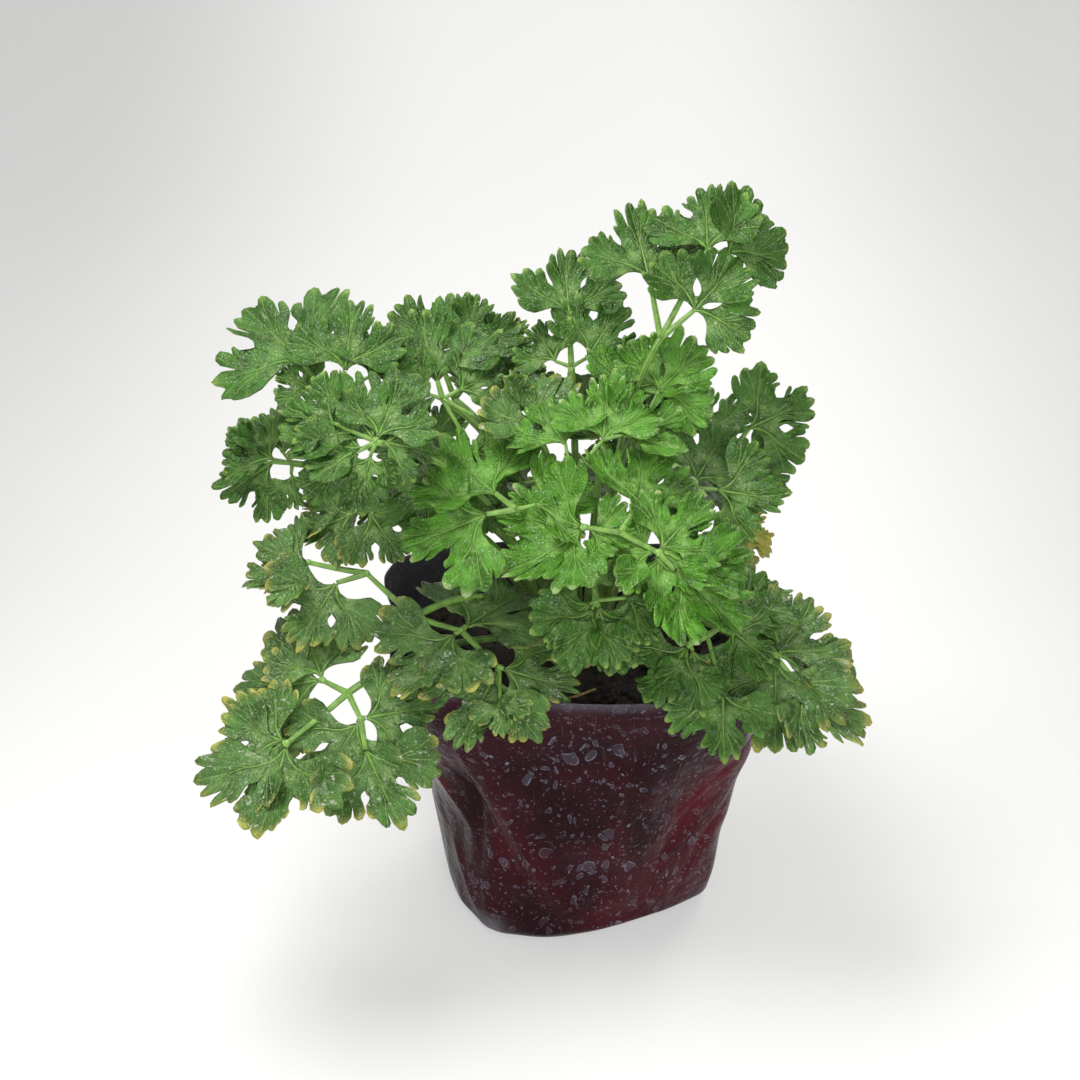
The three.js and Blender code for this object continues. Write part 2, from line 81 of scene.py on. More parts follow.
# The fronds, as the frame has them: heading, reach and height of the fork, the heading and pitch that
# the blade faces, age, and parts. A part is [kind, bearing, stalk, leaflet length, pointing, earlier part
# that it leaves from]. Only left_bright's age differs from the frame's: its leaf is dark and glossy.
FRONDS = {
    "tall_right": [5, 33, 260, [-90, 35], 0.35, [["fan", -10, 25, 31, -12], ["trio", 50, 18, 27, 42],
        ["fan", 28, 41, 27, 0], ["duo", 100, 8, 26, 48, 2]]],
    "top_centre": [105, 12, 243, [-90, 30], 0.3, [["fan", -2, 21, 28, -4], ["fan", 60, 8, 26, 32],
        ["fan", -70, 7, 18, -30]]],
    "upper_right": [-20, 28, 228, [-90, 40], 0.15, [["fan", -25, 13, 25, 8], ["trio", 25, 15, 25, 45]]],
    "high_front": [-95, 40, 220, [-90, 50], 0.1, [["fan", -10, 14, 25, -28], ["fan", 40, 20, 26, 5],
        ["fan", 75, 8, 26, 62, 1]]],
    "centre_front": [-75, 60, 204, [-90, 55], 0.1, [["fan", 32, 14, 30, 8], ["node", -80, 14],
        ["fan", -70, 2, 30, -70, 1], ["fan", -125, 2, 32, -125, 1], ["fan", 110, 2, 17, 110, 1],
        ["node", 120, 17], ["fan", 40, 2, 25, 40, 5], ["fan", 80, 2, 34, 82, 5],
        ["fan", -85, 2, 20, -85, 5], ["fan", 180, 2, 22, 180, 5], ["fan", 140, 10, 34, 126, 5]]],
    "right_rim": [-50, 80, 158, [-80, 55], 0.5, [["node", -110, 8], ["fan", -135, 2, 28, -135, 0],
        ["fan", 172, 3, 22, 172, 0], ["fan", 175, 24, 26, 188], ["node", 60, 9],
        ["fan", 95, 2, 28, 95, 4], ["fan", 138, 3, 20, 138, 4], ["fan", 65, 12, 24, 52, 4]]],
    "right_low": [-40, 96, 150, [-65, 55], 0.7, [["node", 120, 6], ["fan", 58, 2, 30, 58, 0],
        ["fan", 95, 3, 24, 98, 0], ["fan", 200, 2, 36, 200, 0], ["fan", 160, 12, 34, 148, 0]]],
    "front_small": [-85, 70, 180, [-90, 45], 0.45, [["fan", -120, 3, 23, -118], ["fan", -155, 4, 26, -155],
        ["fan", 160, 3, 27, 160], ["fan", -10, 5, 12, -10], ["fan", 85, 12, 22, 110]]],
    "front_left": [215, 82, 158, [-90, 60], 0.6, [["node", -45, 29], ["node", -78, 25, 0, 0, 0],
        ["fan", -68, 2, 21, -68, 1], ["fan", -112, 2, 24, -112, 1], ["fan", -110, 13, 30, -150, 0],
        ["node", 108, 20], ["fan", -120, 3, 33, -142, 5], ["fan", 45, 3, 36, 42, 5],
        ["node", 137, 23, 0, 0, 5], ["fan", 208, 2, 33, 208, 8], ["fan", 100, 2, 29, 100, 8],
        ["fan", 178, 14, 15, 175, 8]]],
    "low_left": [216, 116, 135, [-95, 60], 0.7, [["node", -65, 12], ["fan", -25, 2, 26, -25, 0],
        ["fan", -92, 2, 38, -92, 0], ["node", -137, 32], ["fan", -68, 2, 26, -68, 3],
        ["fan", -112, 2, 30, -112, 3], ["fan", -172, 2, 38, -172, 3], ["node", 150, 13],
        ["fan", 72, 2, 28, 72, 7], ["fan", -152, 2, 30, -152, 7], ["fan", 165, 14, 32, 150, 7]]],
    "left_dark": [187, 90, 190, [-115, 50], 0.6, [["fan", -100, 6, 26, -82], ["fan", -140, 6, 24, -125],
        ["fan", 120, 4, 24, 128]]],
    "left_far": [178, 120, 202, [-105, 50], 0.5, [["fan", -50, 7, 26, -15], ["fan", -85, 9, 22, -65],
        ["fan", -95, 9, 26, -125], ["fan", 170, 5, 14, 160]]],
    "left_bright": [212, 94, 240, [-90, 45], 0.3, [["fan", -35, 2, 38, -35], ["fan", 20, 2, 24, 20],
        ["fan", 90, 3, 20, 95], ["fan", -115, 6, 25, -82], ["fan", -120, 8, 26, -130],
        ["fan", -65, 18, 21, -65], ["fan", -160, 6, 15, -168]]],
    "top_left": [183, 102, 238, [-100, 35], 0.4, [["fan", -45, 18, 38, -52], ["fan", 27, 12, 28, 0],
        ["fan", 60, 18, 22, 28], ["fan", -75, 8, 16, -66]]],
    "back_left": [143, 66, 214, [-90, 30], 0.45, [["fan", -20, 22, 30, -40], ["fan", 18, 20, 26, 4],
        ["fan", 38, 28, 18, 42]]],
    "back_centre": [125, 55, 208, [-90, 25], 0.5, [["fan", -8, 8, 25, -12], ["fan", 60, 6, 18, 55]]],
    "inner_left": [180, 56, 234, [-90, 40], 0.25, [["fan", -15, 8, 34, -15], ["fan", -70, 5, 20, -75],
        ["fan", 60, 8, 18, 60], ["fan", 118, 16, 26, 108], ["fan", 150, 22, 24, 165]]],
    "inner_mid": [243, 56, 210, [-90, 50], 0.15, [["fan", -50, 11, 32, -42], ["fan", -100, 12, 34, -112],
        ["fan", 75, 8, 24, 80]]],
    "inner_low": [196, 58, 206, [-90, 50], 0.3, [["fan", -120, 5, 25, -125], ["fan", -30, 14, 24, -20],
        ["fan", 98, 13, 24, 112]]],
    "inner_dark": [230, 26, 226, [-90, 45], 0.55, [["trio", 0, 4, 27, 0]]],
    "right_back": [25, 70, 188, [-90, 25], 0.5, [["fan", -35, 14, 24, -5], ["fan", 35, 19, 28, 65],
        ["fan", 85, 7, 25, 115]]],
    "right_mid": [-20, 50, 202, [-90, 45], 0.35, [["fan", 20, 3, 30, 28], ["fan", 95, 10, 26, 100]]],
    "right_yellow": [13, 70, 160, [-60, 50], 0.9, [["fan", 100, 3, 20, 112], ["fan", 60, 4, 16, 70]]],
    "back_right": [55, 80, 168, [55, 50], 0.5, [["trio", 180, 22, 28, 180], ["trio", 110, 16, 23, 115],
        ["trio", -110, 16, 23, -115], ["fan", 62, 12, 24, 60], ["fan", -62, 12, 24, -60]]],
    "back_low": [98, 84, 152, [98, 50], 0.65, [["trio", 180, 24, 30, 180], ["trio", 110, 17, 25, 118],
        ["trio", -110, 17, 25, -118], ["fan", 60, 12, 24, 62], ["fan", -60, 12, 24, -62]]],
    "back_far_left": [148, 96, 168, [150, 50], 0.55, [["trio", 180, 22, 29, 180],
        ["trio", 110, 16, 24, 115], ["trio", -110, 16, 24, -115], ["fan", 62, 12, 24, 60],
        ["fan", -62, 12, 24, -60]]],
    "back_high": [70, 48, 208, [72, 45], 0.35, [["trio", 180, 18, 26, 180], ["trio", 105, 14, 22, 100],
        ["trio", -105, 14, 22, -100], ["fan", 50, 14, 24, 45], ["fan", -50, 14, 24, -45]]],
}


def hex_colour(text):
    """An sRGB hex value as linear red, green and blue."""
    parts = [int(text[i : i + 2], 16) / 255 for i in (1, 3, 5)]
    return tuple(c / 12.92 if c <= 0.04045 else ((c + 0.055) / 1.055) ** 2.4 for c in parts)


def length_setting(name, description, size):
    """A length that a user can change, with its default in millimetres."""
    return FloatProperty(name=name, description=description, default=size * MM, min=0, unit="LENGTH")


def colour_setting(name, description, text):
    """A colour that a user can change, with its default as an sRGB hex value."""
    return FloatVectorProperty(name=name, description=description, subtype="COLOR", default=hex_colour(text))


class ParsleySizes(bpy.types.PropertyGroup):
    """Sizes of the plant and its bag."""

    leaf_thickness: length_setting("Leaf thickness", "Thickness of a leaflet", 0.32)
    stalk_radius: length_setting("Stalk radius", "Radius of a frond's stalk at its fork", 1.5)
    quilting: length_setting("Quilting", "Height of the bulges between veins", 0.42)
    film_thickness: length_setting("Film thickness", "Thickness of the bag's wall", 0.35)
    crumbs: IntProperty(name="Crumbs", description="Loose crumbs lying on the soil", default=420, min=0)
    seed: IntProperty(name="Seed", description="Chooses the leaves' small differences", default=7)


class ParsleyColours(bpy.types.PropertyGroup):
    """Colours of the plant, its bag and the soil."""

    young: colour_setting("Young leaf", "Bright new leaf", "#4c8618")
    mature: colour_setting("Mature leaf", "Grown leaf", "#3a6916")
    old: colour_setting("Old leaf", "Oldest leaf, darker and duller", "#4a732e")
    yellowing: colour_setting("Yellowing leaf", "Dying leaf", "#a3a338")
    stalk: colour_setting("Stalk", "Green of the stalks", "#6c9440")
    film: colour_setting("Film", "The bag's maroon-black film", "#2b0b13")
    soil: colour_setting("Soil", "Moist potting mix", "#2e231b")
    stage: colour_setting("Stage", "Plain pale floor and backdrop", "#a4a4a4")


# ---------------------------------------------------------------- materials

# Settings and inputs that many nodes share.
SMOOTH = {"interpolation_type": "SMOOTHSTEP"}
COLOURS = {"data_type": "RGBA"}
NOISE = {"Detail": 3.0, "Roughness": 0.55}
# Widths of the patterns on each finish, in millimetres. The net of veins, the grain and the grit are
# finer than this in life, and are drawn as coarse as they need to show.
LEAF_PATTERNS = {
    "patches": 7.7,
    "wander": 2.0,
    "net": 1.61,
    "specks": 2.38,
    "smears": 11.1,
    "grain": 0.77,
    "blisters": 4.35,
}
STALK_STREAKS = 3.85
FILM_PATTERNS = {"clouds": 29.4, "red": 71.4, "dirt": 50.0, "grit": 1.61, "crinkle": 14.3}
FILM_WOBBLE = 14.3
# A streak's width and length.
FILM_STREAK = (2.0, 16.7)
SOIL_PATTERNS = {"lumps": 6.25, "fibres": 4.17, "grit": 1.25}


def add(tree, kind, inputs=(), **settings):
    """Adds a node with its settings, sets or links its inputs by name or place, and gives its outputs."""
    node = tree.nodes.new("ShaderNode" + kind)
    for name, value in settings.items():
        setattr(node, name, value)
    for name, value in inputs.items() if isinstance(inputs, dict) else enumerate(inputs):
        if isinstance(value, bpy.types.NodeSocket):
            tree.links.new(value, node.inputs[name])
        else:
            node.inputs[name].default_value = value
    return node.outputs


def new_material(name):
    """An empty node material and its tree."""
    material = bpy.data.materials.new(name)
    material.use_nodes = True
    material.node_tree.nodes.clear()
    return material, material.node_tree


def rgba(colour):
    """A colour with full alpha."""
    return (*colour[:3], 1.0)


def per_metre(patterns):
    """Each pattern's scale on Object coordinates, from its width in millimetres."""
    return {name: 1 / (width * MM) for name, width in patterns.items()}


def leaf_material(name, colour, tip, glow, dust, spread, under=False):
    """Living parsley leaf: a waxy cuticle over a thin, light-passing blade, with paler sunken veins, and
    painted light along its thin margin.
    """
    material, tree = new_material(name)
    scale = per_metre(LEAF_PATTERNS)
    place = add(tree, "TexCoord")["Object"]
    blade = add(tree, "Attribute", attribute_name="blade")["Vector"]
    vein, width, share = add(tree, "SeparateXYZ", (blade,))
    marks = add(tree, "Attribute", attribute_name="marks")["Vector"]
    own, tooth, across = add(tree, "SeparateXYZ", (marks,))
    patches = add(tree, "TexNoise", {**NOISE, "Vector": place, "Scale": scale["patches"], "Detail": 4.0})[0]

    # Side veins run from the midrib to the middle of each tooth, wandering a little on the way.
    wander = add(tree, "TexNoise", {**NOISE, "Vector": place, "Scale": scale["wander"]})[0]
    wander = add(tree, "Math", (wander, 0.5), operation="SUBTRACT")[0]
    wander = add(tree, "Math", (wander, 0.9), operation="MULTIPLY")[0]
    within = add(tree, "Math", (vein,), operation="FRACT")[0]
    within = add(tree, "Math", (within, 0.5), operation="SUBTRACT")[0]
    apart = add(tree, "Math", (within,), operation="ABSOLUTE")[0]
    beside = add(tree, "Math", (apart, width, wander), operation="MULTIPLY_ADD")[0]
    beside = add(tree, "Math", (beside,), operation="ABSOLUTE")[0]
    near_side_vein = add(tree, "MapRange", (beside, 0.05, 0.4, 0.8, 0.0), **SMOOTH)[0]
    grown = add(tree, "MapRange", (share, 0.25, 0.5), **SMOOTH)[0]
    side_vein = add(tree, "Math", (near_side_vein, grown), operation="MULTIPLY")[0]
    near_midrib = add(tree, "MapRange", (across, 0.2, 0.75, 1.0, 0.0), **SMOOTH)[0]
    tapered = add(tree, "MapRange", (share, 0.95, 0.5), **SMOOTH)[0]
    midrib = add(tree, "Math", (near_midrib, tapered), operation="MULTIPLY")[0]
    veins = add(tree, "Math", (midrib, side_vein), operation="MAXIMUM")[0]
    net = {"Vector": place, "Scale": scale["net"]}
    net = add(tree, "TexVoronoi", net, feature="DISTANCE_TO_EDGE")["Distance"]

    # Dust and dried splashes lie on top of everything else.
    specks = add(tree, "TexNoise", {**NOISE, "Vector": place, "Scale": scale["specks"], "Detail": 2.0})[0]
    specks = add(tree, "MapRange", (specks, 0.63, 0.7, 0.0, dust), **SMOOTH)[0]
    smears = {"Vector": place, "Scale": scale["smears"], "Detail": 5.0, "Roughness": 0.7}
    smears = add(tree, "TexNoise", smears)[0]
    smears = add(tree, "MapRange", (smears, 0.6, 0.7, 0.0, dust * 0.5), **SMOOTH)[0]
    towards_point = add(tree, "MapRange", (apart, 0.34, 0.1, spread, 1.0), **SMOOTH)[0]

    light = [c * 1.42 + 0.012 for c in colour]
    layers = [
        (add(tree, "MapRange", (patches, 0.3, 0.72), **SMOOTH)[0], light),
        (add(tree, "Math", (own, 0.5), operation="MULTIPLY")[0], [c * 0.85 for c in colour]),
        (add(tree, "MapRange", (net, 0.0, 0.14, 0.25, 0.0), **SMOOTH)[0], light),
        (
            add(tree, "Math", (veins, 0.8), operation="MULTIPLY")[0],
            [c * 1.15 + k for c, k in zip(colour, (0.16, 0.192, 0.088))],
        ),
        # Painted light: the thin margin, as if lit through from behind, is painted as a paler, yellower band.
        (
            add(tree, "MapRange", (share, 0.975, 1.0, 0.0, 0.4), **SMOOTH)[0],
            [c * k + 0.02 for c, k in zip(colour, (2.4, 1.8, 0.9))],
        ),
        (add(tree, "Math", (tooth, towards_point), operation="MULTIPLY")[0], tip),
        (add(tree, "Math", (specks, smears), operation="MAXIMUM")[0], hex_colour("#a9b29c")),
    ]
    if under:
        layers.append((0.35, hex_colour("#87a86e")))
    base = rgba([c * 0.36 for c in colour])
    for cover, paint in layers:
        base = add(tree, "Mix", {0: cover, 6: base, 7: rgba(paint)}, **COLOURS)[2]

    grain = add(tree, "TexNoise", {**NOISE, "Vector": place, "Scale": scale["grain"], "Detail": 2.0})[0]
    blisters = add(tree, "TexNoise", {**NOISE, "Vector": place, "Scale": scale["blisters"], "Detail": 2.0})[0]
    relief = add(tree, "MapRange", (net, 0.0, 0.2, 0.0, 0.4), **SMOOTH)[0]
    for height, amount in ((grain, 0.35), (veins, -0.7), (blisters, 1.6)):
        relief = add(tree, "Math", (height, amount, relief), operation="MULTIPLY_ADD")[0]
    surface = {
        "Base Color": base,
        "Roughness": add(tree, "MapRange", (patches, 0.3, 0.7, 0.22, 0.4), **SMOOTH)[0],
        "IOR": 1.45,
        "Specular IOR Level": 0.25 if under else 0.55,
        "Normal": add(tree, "Bump", {"Height": relief, "Strength": 0.9, "Distance": 0.6 * MM})[0],
    }
    waxy = add(tree, "BsdfPrincipled", surface)[0]
    through = add(tree, "Mix", {0: 1.0, 6: base, 7: rgba(glow)}, blend_type="MULTIPLY", **COLOURS)[2]
    through = add(tree, "Mix", {0: 0.5, 6: through, 7: rgba([c * 0.55 for c in glow])}, **COLOURS)[2]
    light_passing = add(tree, "BsdfTranslucent", {"Color": through})[0]
    add(tree, "OutputMaterial", (add(tree, "MixShader", (0.26, waxy, light_passing))[0],))
    return material


def stalk_material(name, colour):
    """Fleshy ribbed stalk: satin green with paler ribs, whitish towards the crown."""
    material, tree = new_material(name)
    place = add(tree, "TexCoord")["Object"]
    blade = add(tree, "Attribute", attribute_name="blade")["Vector"]
    around, _, pale = add(tree, "SeparateXYZ", (blade,))
    ribs = add(tree, "Math", (around, 6.0), operation="MULTIPLY")[0]
    ribs = add(tree, "Math", (ribs,), operation="COSINE")[0]
    streaks = add(tree, "TexNoise", {**NOISE, "Vector": place, "Scale": 1 / (STALK_STREAKS * MM)})[0]
    base = rgba([c * 0.55 for c in colour])
    for cover, paint in (
        (add(tree, "MapRange", (streaks, 0.3, 0.7), **SMOOTH)[0], colour),
        (add(tree, "MapRange", (ribs, 0.1, 1.0, 0.0, 0.55), **SMOOTH)[0], [c * 1.35 + 0.03 for c in colour]),
        (add(tree, "Math", (pale, 0.6), operation="MULTIPLY")[0], hex_colour("#b9c98a")),
    ):
        base = add(tree, "Mix", {0: cover, 6: base, 7: rgba(paint)}, **COLOURS)[2]
    surface = {
        "Base Color": base,
        "Roughness": 0.42,
        "IOR": 1.42,
        "Normal": add(tree, "Bump", {"Height": ribs, "Strength": 0.35, "Distance": 0.3 * MM})[0],
        "Subsurface Weight": 0.15,
        "Subsurface Radius": (2 * MM, 3 * MM, 1 * MM),
        "Subsurface Scale": 0.4,
    }
    add(tree, "OutputMaterial", (add(tree, "BsdfPrincipled", surface)[0],))
    return material


# Marks of dried hard water: spacing in millimetres, largest radius and rim as shares of it, and strength.
WATER_MARKS = (
    (10.0, 0.34, 0.04, 0.9),
    (6.25, 0.36, 0.06, 1.0),
    (3.7, 0.38, 0.09, 1.0),
    (2.0, 0.36, 0.14, 0.7),
)


def water_marks(tree, wrap, spacing, size, rim):
    """Faint discs of dried water with a brighter, broken rim, one in each cell of a Voronoi pattern."""
    cells = add(tree, "TexVoronoi", {"Vector": wrap, "Scale": 1 / spacing})
    chance = add(tree, "SeparateColor", (cells["Color"],))[0]
    radius = add(tree, "MapRange", (chance, 0.2, 1.0, 0.0, size), **SMOOTH)[0]
    inside = add(tree, "Math", (radius, cells["Distance"]), operation="SUBTRACT")[0]
    disc = add(tree, "MapRange", (inside, 0.0, rim * 0.5, 0.0, 0.13), **SMOOTH)[0]
    from_rim = add(tree, "Math", (inside, rim * 0.8), operation="SUBTRACT")[0]
    from_rim = add(tree, "Math", (from_rim,), operation="ABSOLUTE")[0]
    ring = add(tree, "MapRange", (from_rim, 0.0, rim * 0.75, 0.8, 0.0), **SMOOTH)[0]
    broken = add(tree, "TexNoise", {**NOISE, "Vector": wrap, "Scale": 2.4 / spacing, "Detail": 1.0})[0]
    broken = add(tree, "MapRange", (broken, 0.4, 0.6), **SMOOTH)[0]
    ring = add(tree, "Math", (ring, broken), operation="MULTIPLY")[0]
    return add(tree, "Math", (disc, ring), operation="MAXIMUM")[0]


def film_material(colours):
    """Blown polyethylene film: thin and satin under a coat of dust, with rings of dried hard water, a painted
    red glow along its creases, painted shade in a hollow and the painted grey of the floor seen through its
    empty base corners.
    """
    material, tree = new_material("dusty maroon polyethylene film")
    scale = per_metre(FILM_PATTERNS)
    place = add(tree, "TexCoord")["Object"]
    wrap = add(tree, "Attribute", attribute_name="wrap")["Vector"]
    marks = add(tree, "Attribute", attribute_name="marks")["Vector"]
    painted_glow_and_shade, clear, inner = add(tree, "SeparateXYZ", (marks,))
    clouds = {"Vector": place, "Scale": scale["clouds"], "Detail": 5.0, "Roughness": 0.62}
    clouds = add(tree, "TexNoise", clouds)[0]
    red = add(tree, "TexNoise", {**NOISE, "Vector": place, "Scale": scale["red"]})[0]

    # Water marks, bent out of true round, lie thick where the dirt is.
    wobble = add(tree, "TexNoise", {"Vector": wrap, "Scale": 1 / FILM_WOBBLE, "Detail": 1.0})["Color"]
    bent = add(tree, "VectorMath", (wobble, (14.0, 14.0, 0.0), wrap), operation="MULTIPLY_ADD")[0]
    water = 0.0
    for spacing, size, rim, strength in WATER_MARKS:
        mark = water_marks(tree, bent, spacing, size, rim)
        mark = add(tree, "Math", (mark, strength), operation="MULTIPLY")[0]
        water = add(tree, "Math", (mark, water), operation="MAXIMUM")[0]
    dirt = add(tree, "TexNoise", {**NOISE, "Vector": place, "Scale": scale["dirt"]})[0]
    dirt = add(tree, "MapRange", (dirt, 0.4, 0.6, 0.45, 1.0), **SMOOTH)[0]
    water = add(tree, "Math", (water, dirt), operation="MULTIPLY")[0]

    # A haze of streaks run down the film and of grit stuck to it.
    stretched = {"Vector": wrap, "Scale": (1 / FILM_STREAK[0], 1 / FILM_STREAK[1], 1.0)}
    stretched = add(tree, "Mapping", stretched)[0]
    streaks = add(tree, "TexNoise", {**NOISE, "Vector": stretched, "Scale": 1.0})[0]
    streaks = add(tree, "MapRange", (streaks, 0.6, 0.75, 0.0, 0.08), **SMOOTH)[0]
    grit = add(tree, "TexNoise", {**NOISE, "Vector": place, "Scale": scale["grit"], "Detail": 2.0})[0]
    grit = add(tree, "MapRange", (grit, 0.67, 0.73, 0.0, 0.4), **SMOOTH)[0]
    haze = add(tree, "Math", (streaks, grit), operation="MAXIMUM")[0]

    film = rgba([c * 0.5 for c in colours.film])
    for cover, paint in (
        (add(tree, "MapRange", (clouds, 0.4, 0.62), **SMOOTH)[0], colours.film),
        (add(tree, "MapRange", (red, 0.5, 0.7, 0.0, 0.5), **SMOOTH)[0], hex_colour("#4d1720")),
        # Painted light: a red glow along the creases. Painted shade: near black in the hollow on the left.
        (add(tree, "Math", (painted_glow_and_shade, 0.62), operation="MULTIPLY", use_clamp=True)[0], hex_colour("#5a1320")),
        (add(tree, "Math", (painted_glow_and_shade, -0.8), operation="MULTIPLY", use_clamp=True)[0], hex_colour("#14060a")),
        (inner, hex_colour("#4b484f")),
        (water, hex_colour("#7d8092")),
        (haze, hex_colour("#988d92")),
        # Painted see-through: the grey of the floor behind the empty film at the base corners.
        (add(tree, "Math", (clear, 0.75), operation="MULTIPLY")[0], hex_colour("#66666d")),
    ):
        film = add(tree, "Mix", {0: cover, 6: film, 7: rgba(paint)}, **COLOURS)[2]
    dull = add(tree, "Math", (water, haze), operation="MAXIMUM")[0]
    crinkle = {**NOISE, "Vector": place, "Scale": scale["crinkle"], "Detail": 5.0}
    crinkle = add(tree, "TexNoise", crinkle)[0]
    relief = add(tree, "Math", (water, 0.06, crinkle), operation="MULTIPLY_ADD")[0]
    surface = {
        "Base Color": film,
        "Roughness": add(tree, "MapRange", (dull, 0.0, 0.5, 0.22, 0.55), **SMOOTH)[0],
        "IOR": 1.4,
        "Specular IOR Level": 0.12,
        "Normal": add(tree, "Bump", {"Height": relief, "Strength": 0.7, "Distance": 3 * MM})[0],
    }
    add(tree, "OutputMaterial", (add(tree, "BsdfPrincipled", surface)[0],))
    return material


def soil_material(colours):
    """Moist peat and coir potting mix: near black and matt, with paler fibres and grit."""
    material, tree = new_material("moist potting mix")
    scale = per_metre(SOIL_PATTERNS)
    place = add(tree, "TexCoord")["Object"]
    lumps = {"Vector": place, "Scale": scale["lumps"], "Detail": 5.0, "Roughness": 0.65}
    lumps = add(tree, "TexNoise", lumps)[0]
    drawn_out = add(tree, "Mapping", {"Vector": place, "Scale": (1.0, 3.2, 1.0)})[0]
    fibres = add(tree, "TexNoise", {**NOISE, "Vector": drawn_out, "Scale": scale["fibres"]})[0]
    grit = add(tree, "TexNoise", {**NOISE, "Vector": place, "Scale": scale["grit"], "Detail": 1.0})[0]
    base = rgba([c * 0.25 for c in colours.soil])
    for cover, paint in (
        (add(tree, "MapRange", (lumps, 0.35, 0.7), **SMOOTH)[0], colours.soil),
        (add(tree, "MapRange", (fibres, 0.6, 0.72, 0.0, 0.6), **SMOOTH)[0], hex_colour("#5a4636")),
        (add(tree, "MapRange", (grit, 0.72, 0.78, 0.0, 0.5), **SMOOTH)[0], hex_colour("#8a7a66")),
    ):
        base = add(tree, "Mix", {0: cover, 6: base, 7: rgba(paint)}, **COLOURS)[2]
    rough = add(tree, "Bump", {"Height": lumps, "Strength": 0.9, "Distance": 2 * MM})[0]
    surface = add(tree, "BsdfPrincipled", {"Base Color": base, "Roughness": 0.82, "Normal": rough})[0]
    add(tree, "OutputMaterial", (surface,))
    return material


def plain_fibre_material(name, dark, light, streak, roughness):
    """Dry or woody plant matter: matt, with streaks between two colours, of a width in millimetres."""
    material, tree = new_material(name)
    place = add(tree, "TexCoord")["Object"]
    streaks = {**NOISE, "Vector": place, "Scale": 1 / (streak * MM), "Detail": 4.0}
    streaks = add(tree, "TexNoise", streaks)[0]
    cover = add(tree, "MapRange", (streaks, 0.32, 0.68), **SMOOTH)[0]
    base = {0: cover, 6: rgba(hex_colour(dark)), 7: rgba(hex_colour(light))}
    surface = {
        "Base Color": add(tree, "Mix", base, **COLOURS)[2],
        "Roughness": roughness,
        "Normal": add(tree, "Bump", {"Height": streaks, "Strength": 0.5, "Distance": 0.6 * MM})[0],
    }
    add(tree, "OutputMaterial", (add(tree, "BsdfPrincipled", surface)[0],))
    return material


def stage_material(colours):
    """Matt sweep that glows as painted light, which softens the shadows on it, with painted shade towards its
    sides.
    """
    material, tree = new_material("matt studio sweep")
    place = add(tree, "TexCoord")["Object"]
    across, away, _ = add(tree, "SeparateXYZ", (place,))
    # Painted shade: darker towards the sides of the backdrop.
    aside = add(tree, "Math", (across,), operation="ABSOLUTE")[0]
    aside = add(tree, "MapRange", (aside, 0.08, 0.42), **SMOOTH)[0]
    behind = add(tree, "MapRange", (away, -0.2, 0.3), **SMOOTH)[0]
    cover = add(tree, "Math", (aside, behind), operation="MULTIPLY")[0]
    base = {0: cover, 6: rgba(colours.stage), 7: rgba([c * 0.74 for c in colours.stage])}
    base = add(tree, "Mix", base, **COLOURS)[2]
    # The glow is painted light that lifts the shadows cast on the sweep.
    surface = {"Base Color": base, "Emission Color": base, "Emission Strength": 1.1, "Roughness": 0.9}
    add(tree, "OutputMaterial", (add(tree, "BsdfPrincipled", surface)[0],))
    return material


# Leaves by age: the oldest age, the group's name, its tips' and its glow's colours, its dust, and how far
# the tips' colour spreads along the margin.
AGE_GROUPS = (
    (0.2, "young", "#cfe0a0", "#b9dc3a", 0.12, 0.15),
    (0.5, "mature", "#a3c35c", "#a3cc35", 0.2, 0.25),
    (0.8, "old", "#ddd068", "#96bb30", 0.85, 0.85),
    (1.0, "yellowing", "#d9c46a", "#d8c83c", 0.3, 0.8),
)


def leaf_materials(age, colours):
    """Upper side, underside and stalk materials for a frond of this age, made once for each age group."""
    _, group, tip, glow, dust, spread = next(row for row in AGE_GROUPS if age <= row[0])
    colour = list(getattr(colours, group))
    made = []
    for side in ("upper side", "underside"):
        name = f"{group} parsley leaf {side}"
        finish = (colour, hex_colour(tip), hex_colour(glow), dust, spread, side == "underside")
        made.append(bpy.data.materials.get(name) or leaf_material(name, *finish))
    name = "ribbed parsley stalk"
    made.append(bpy.data.materials.get(name) or stalk_material(name, list(colours.stalk)))
    return made


# ---------------------------------------------------------------- shapes


def finished(name, bm, materials):
    """Makes a smooth-shaded object of a bmesh in millimetres, at the origin, in the frame's metres."""
    bmesh.ops.scale(bm, vec=(MM, MM, MM), verts=bm.verts)
    mesh = bpy.data.meshes.new(name)
    bm.to_mesh(mesh)
    bm.free()
    for material in materials:
        mesh.materials.append(material)
    mesh.polygons.foreach_set("use_smooth", [True] * len(mesh.polygons))
    made = bpy.data.objects.new(name, mesh)
    bpy.context.scene.collection.objects.link(made)
    return made


def hand_over(piece, node):
    """Rides on the one body and stands for its CAD node, which it hides."""
    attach(piece, "root")
    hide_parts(node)


def absorb(bm, other):
    """Moves another bmesh's shape, with its layers, into this one."""
    carrier = bpy.data.meshes.new("carrier")
    other.to_mesh(carrier)
    other.free()
    bm.from_mesh(carrier)
    bpy.data.meshes.remove(carrier)


# Vertex layers that the plant's materials read, and those that the film's reads.
PLANT_LAYERS = ("blade", "marks")
FILM_LAYERS = ("wrap", "marks")
NO_VALUES = ((0, 0, 0), (0, 0, 0))
# Vertices nearer than this, in millimetres, are one.
SAME_PLACE = 1e-4


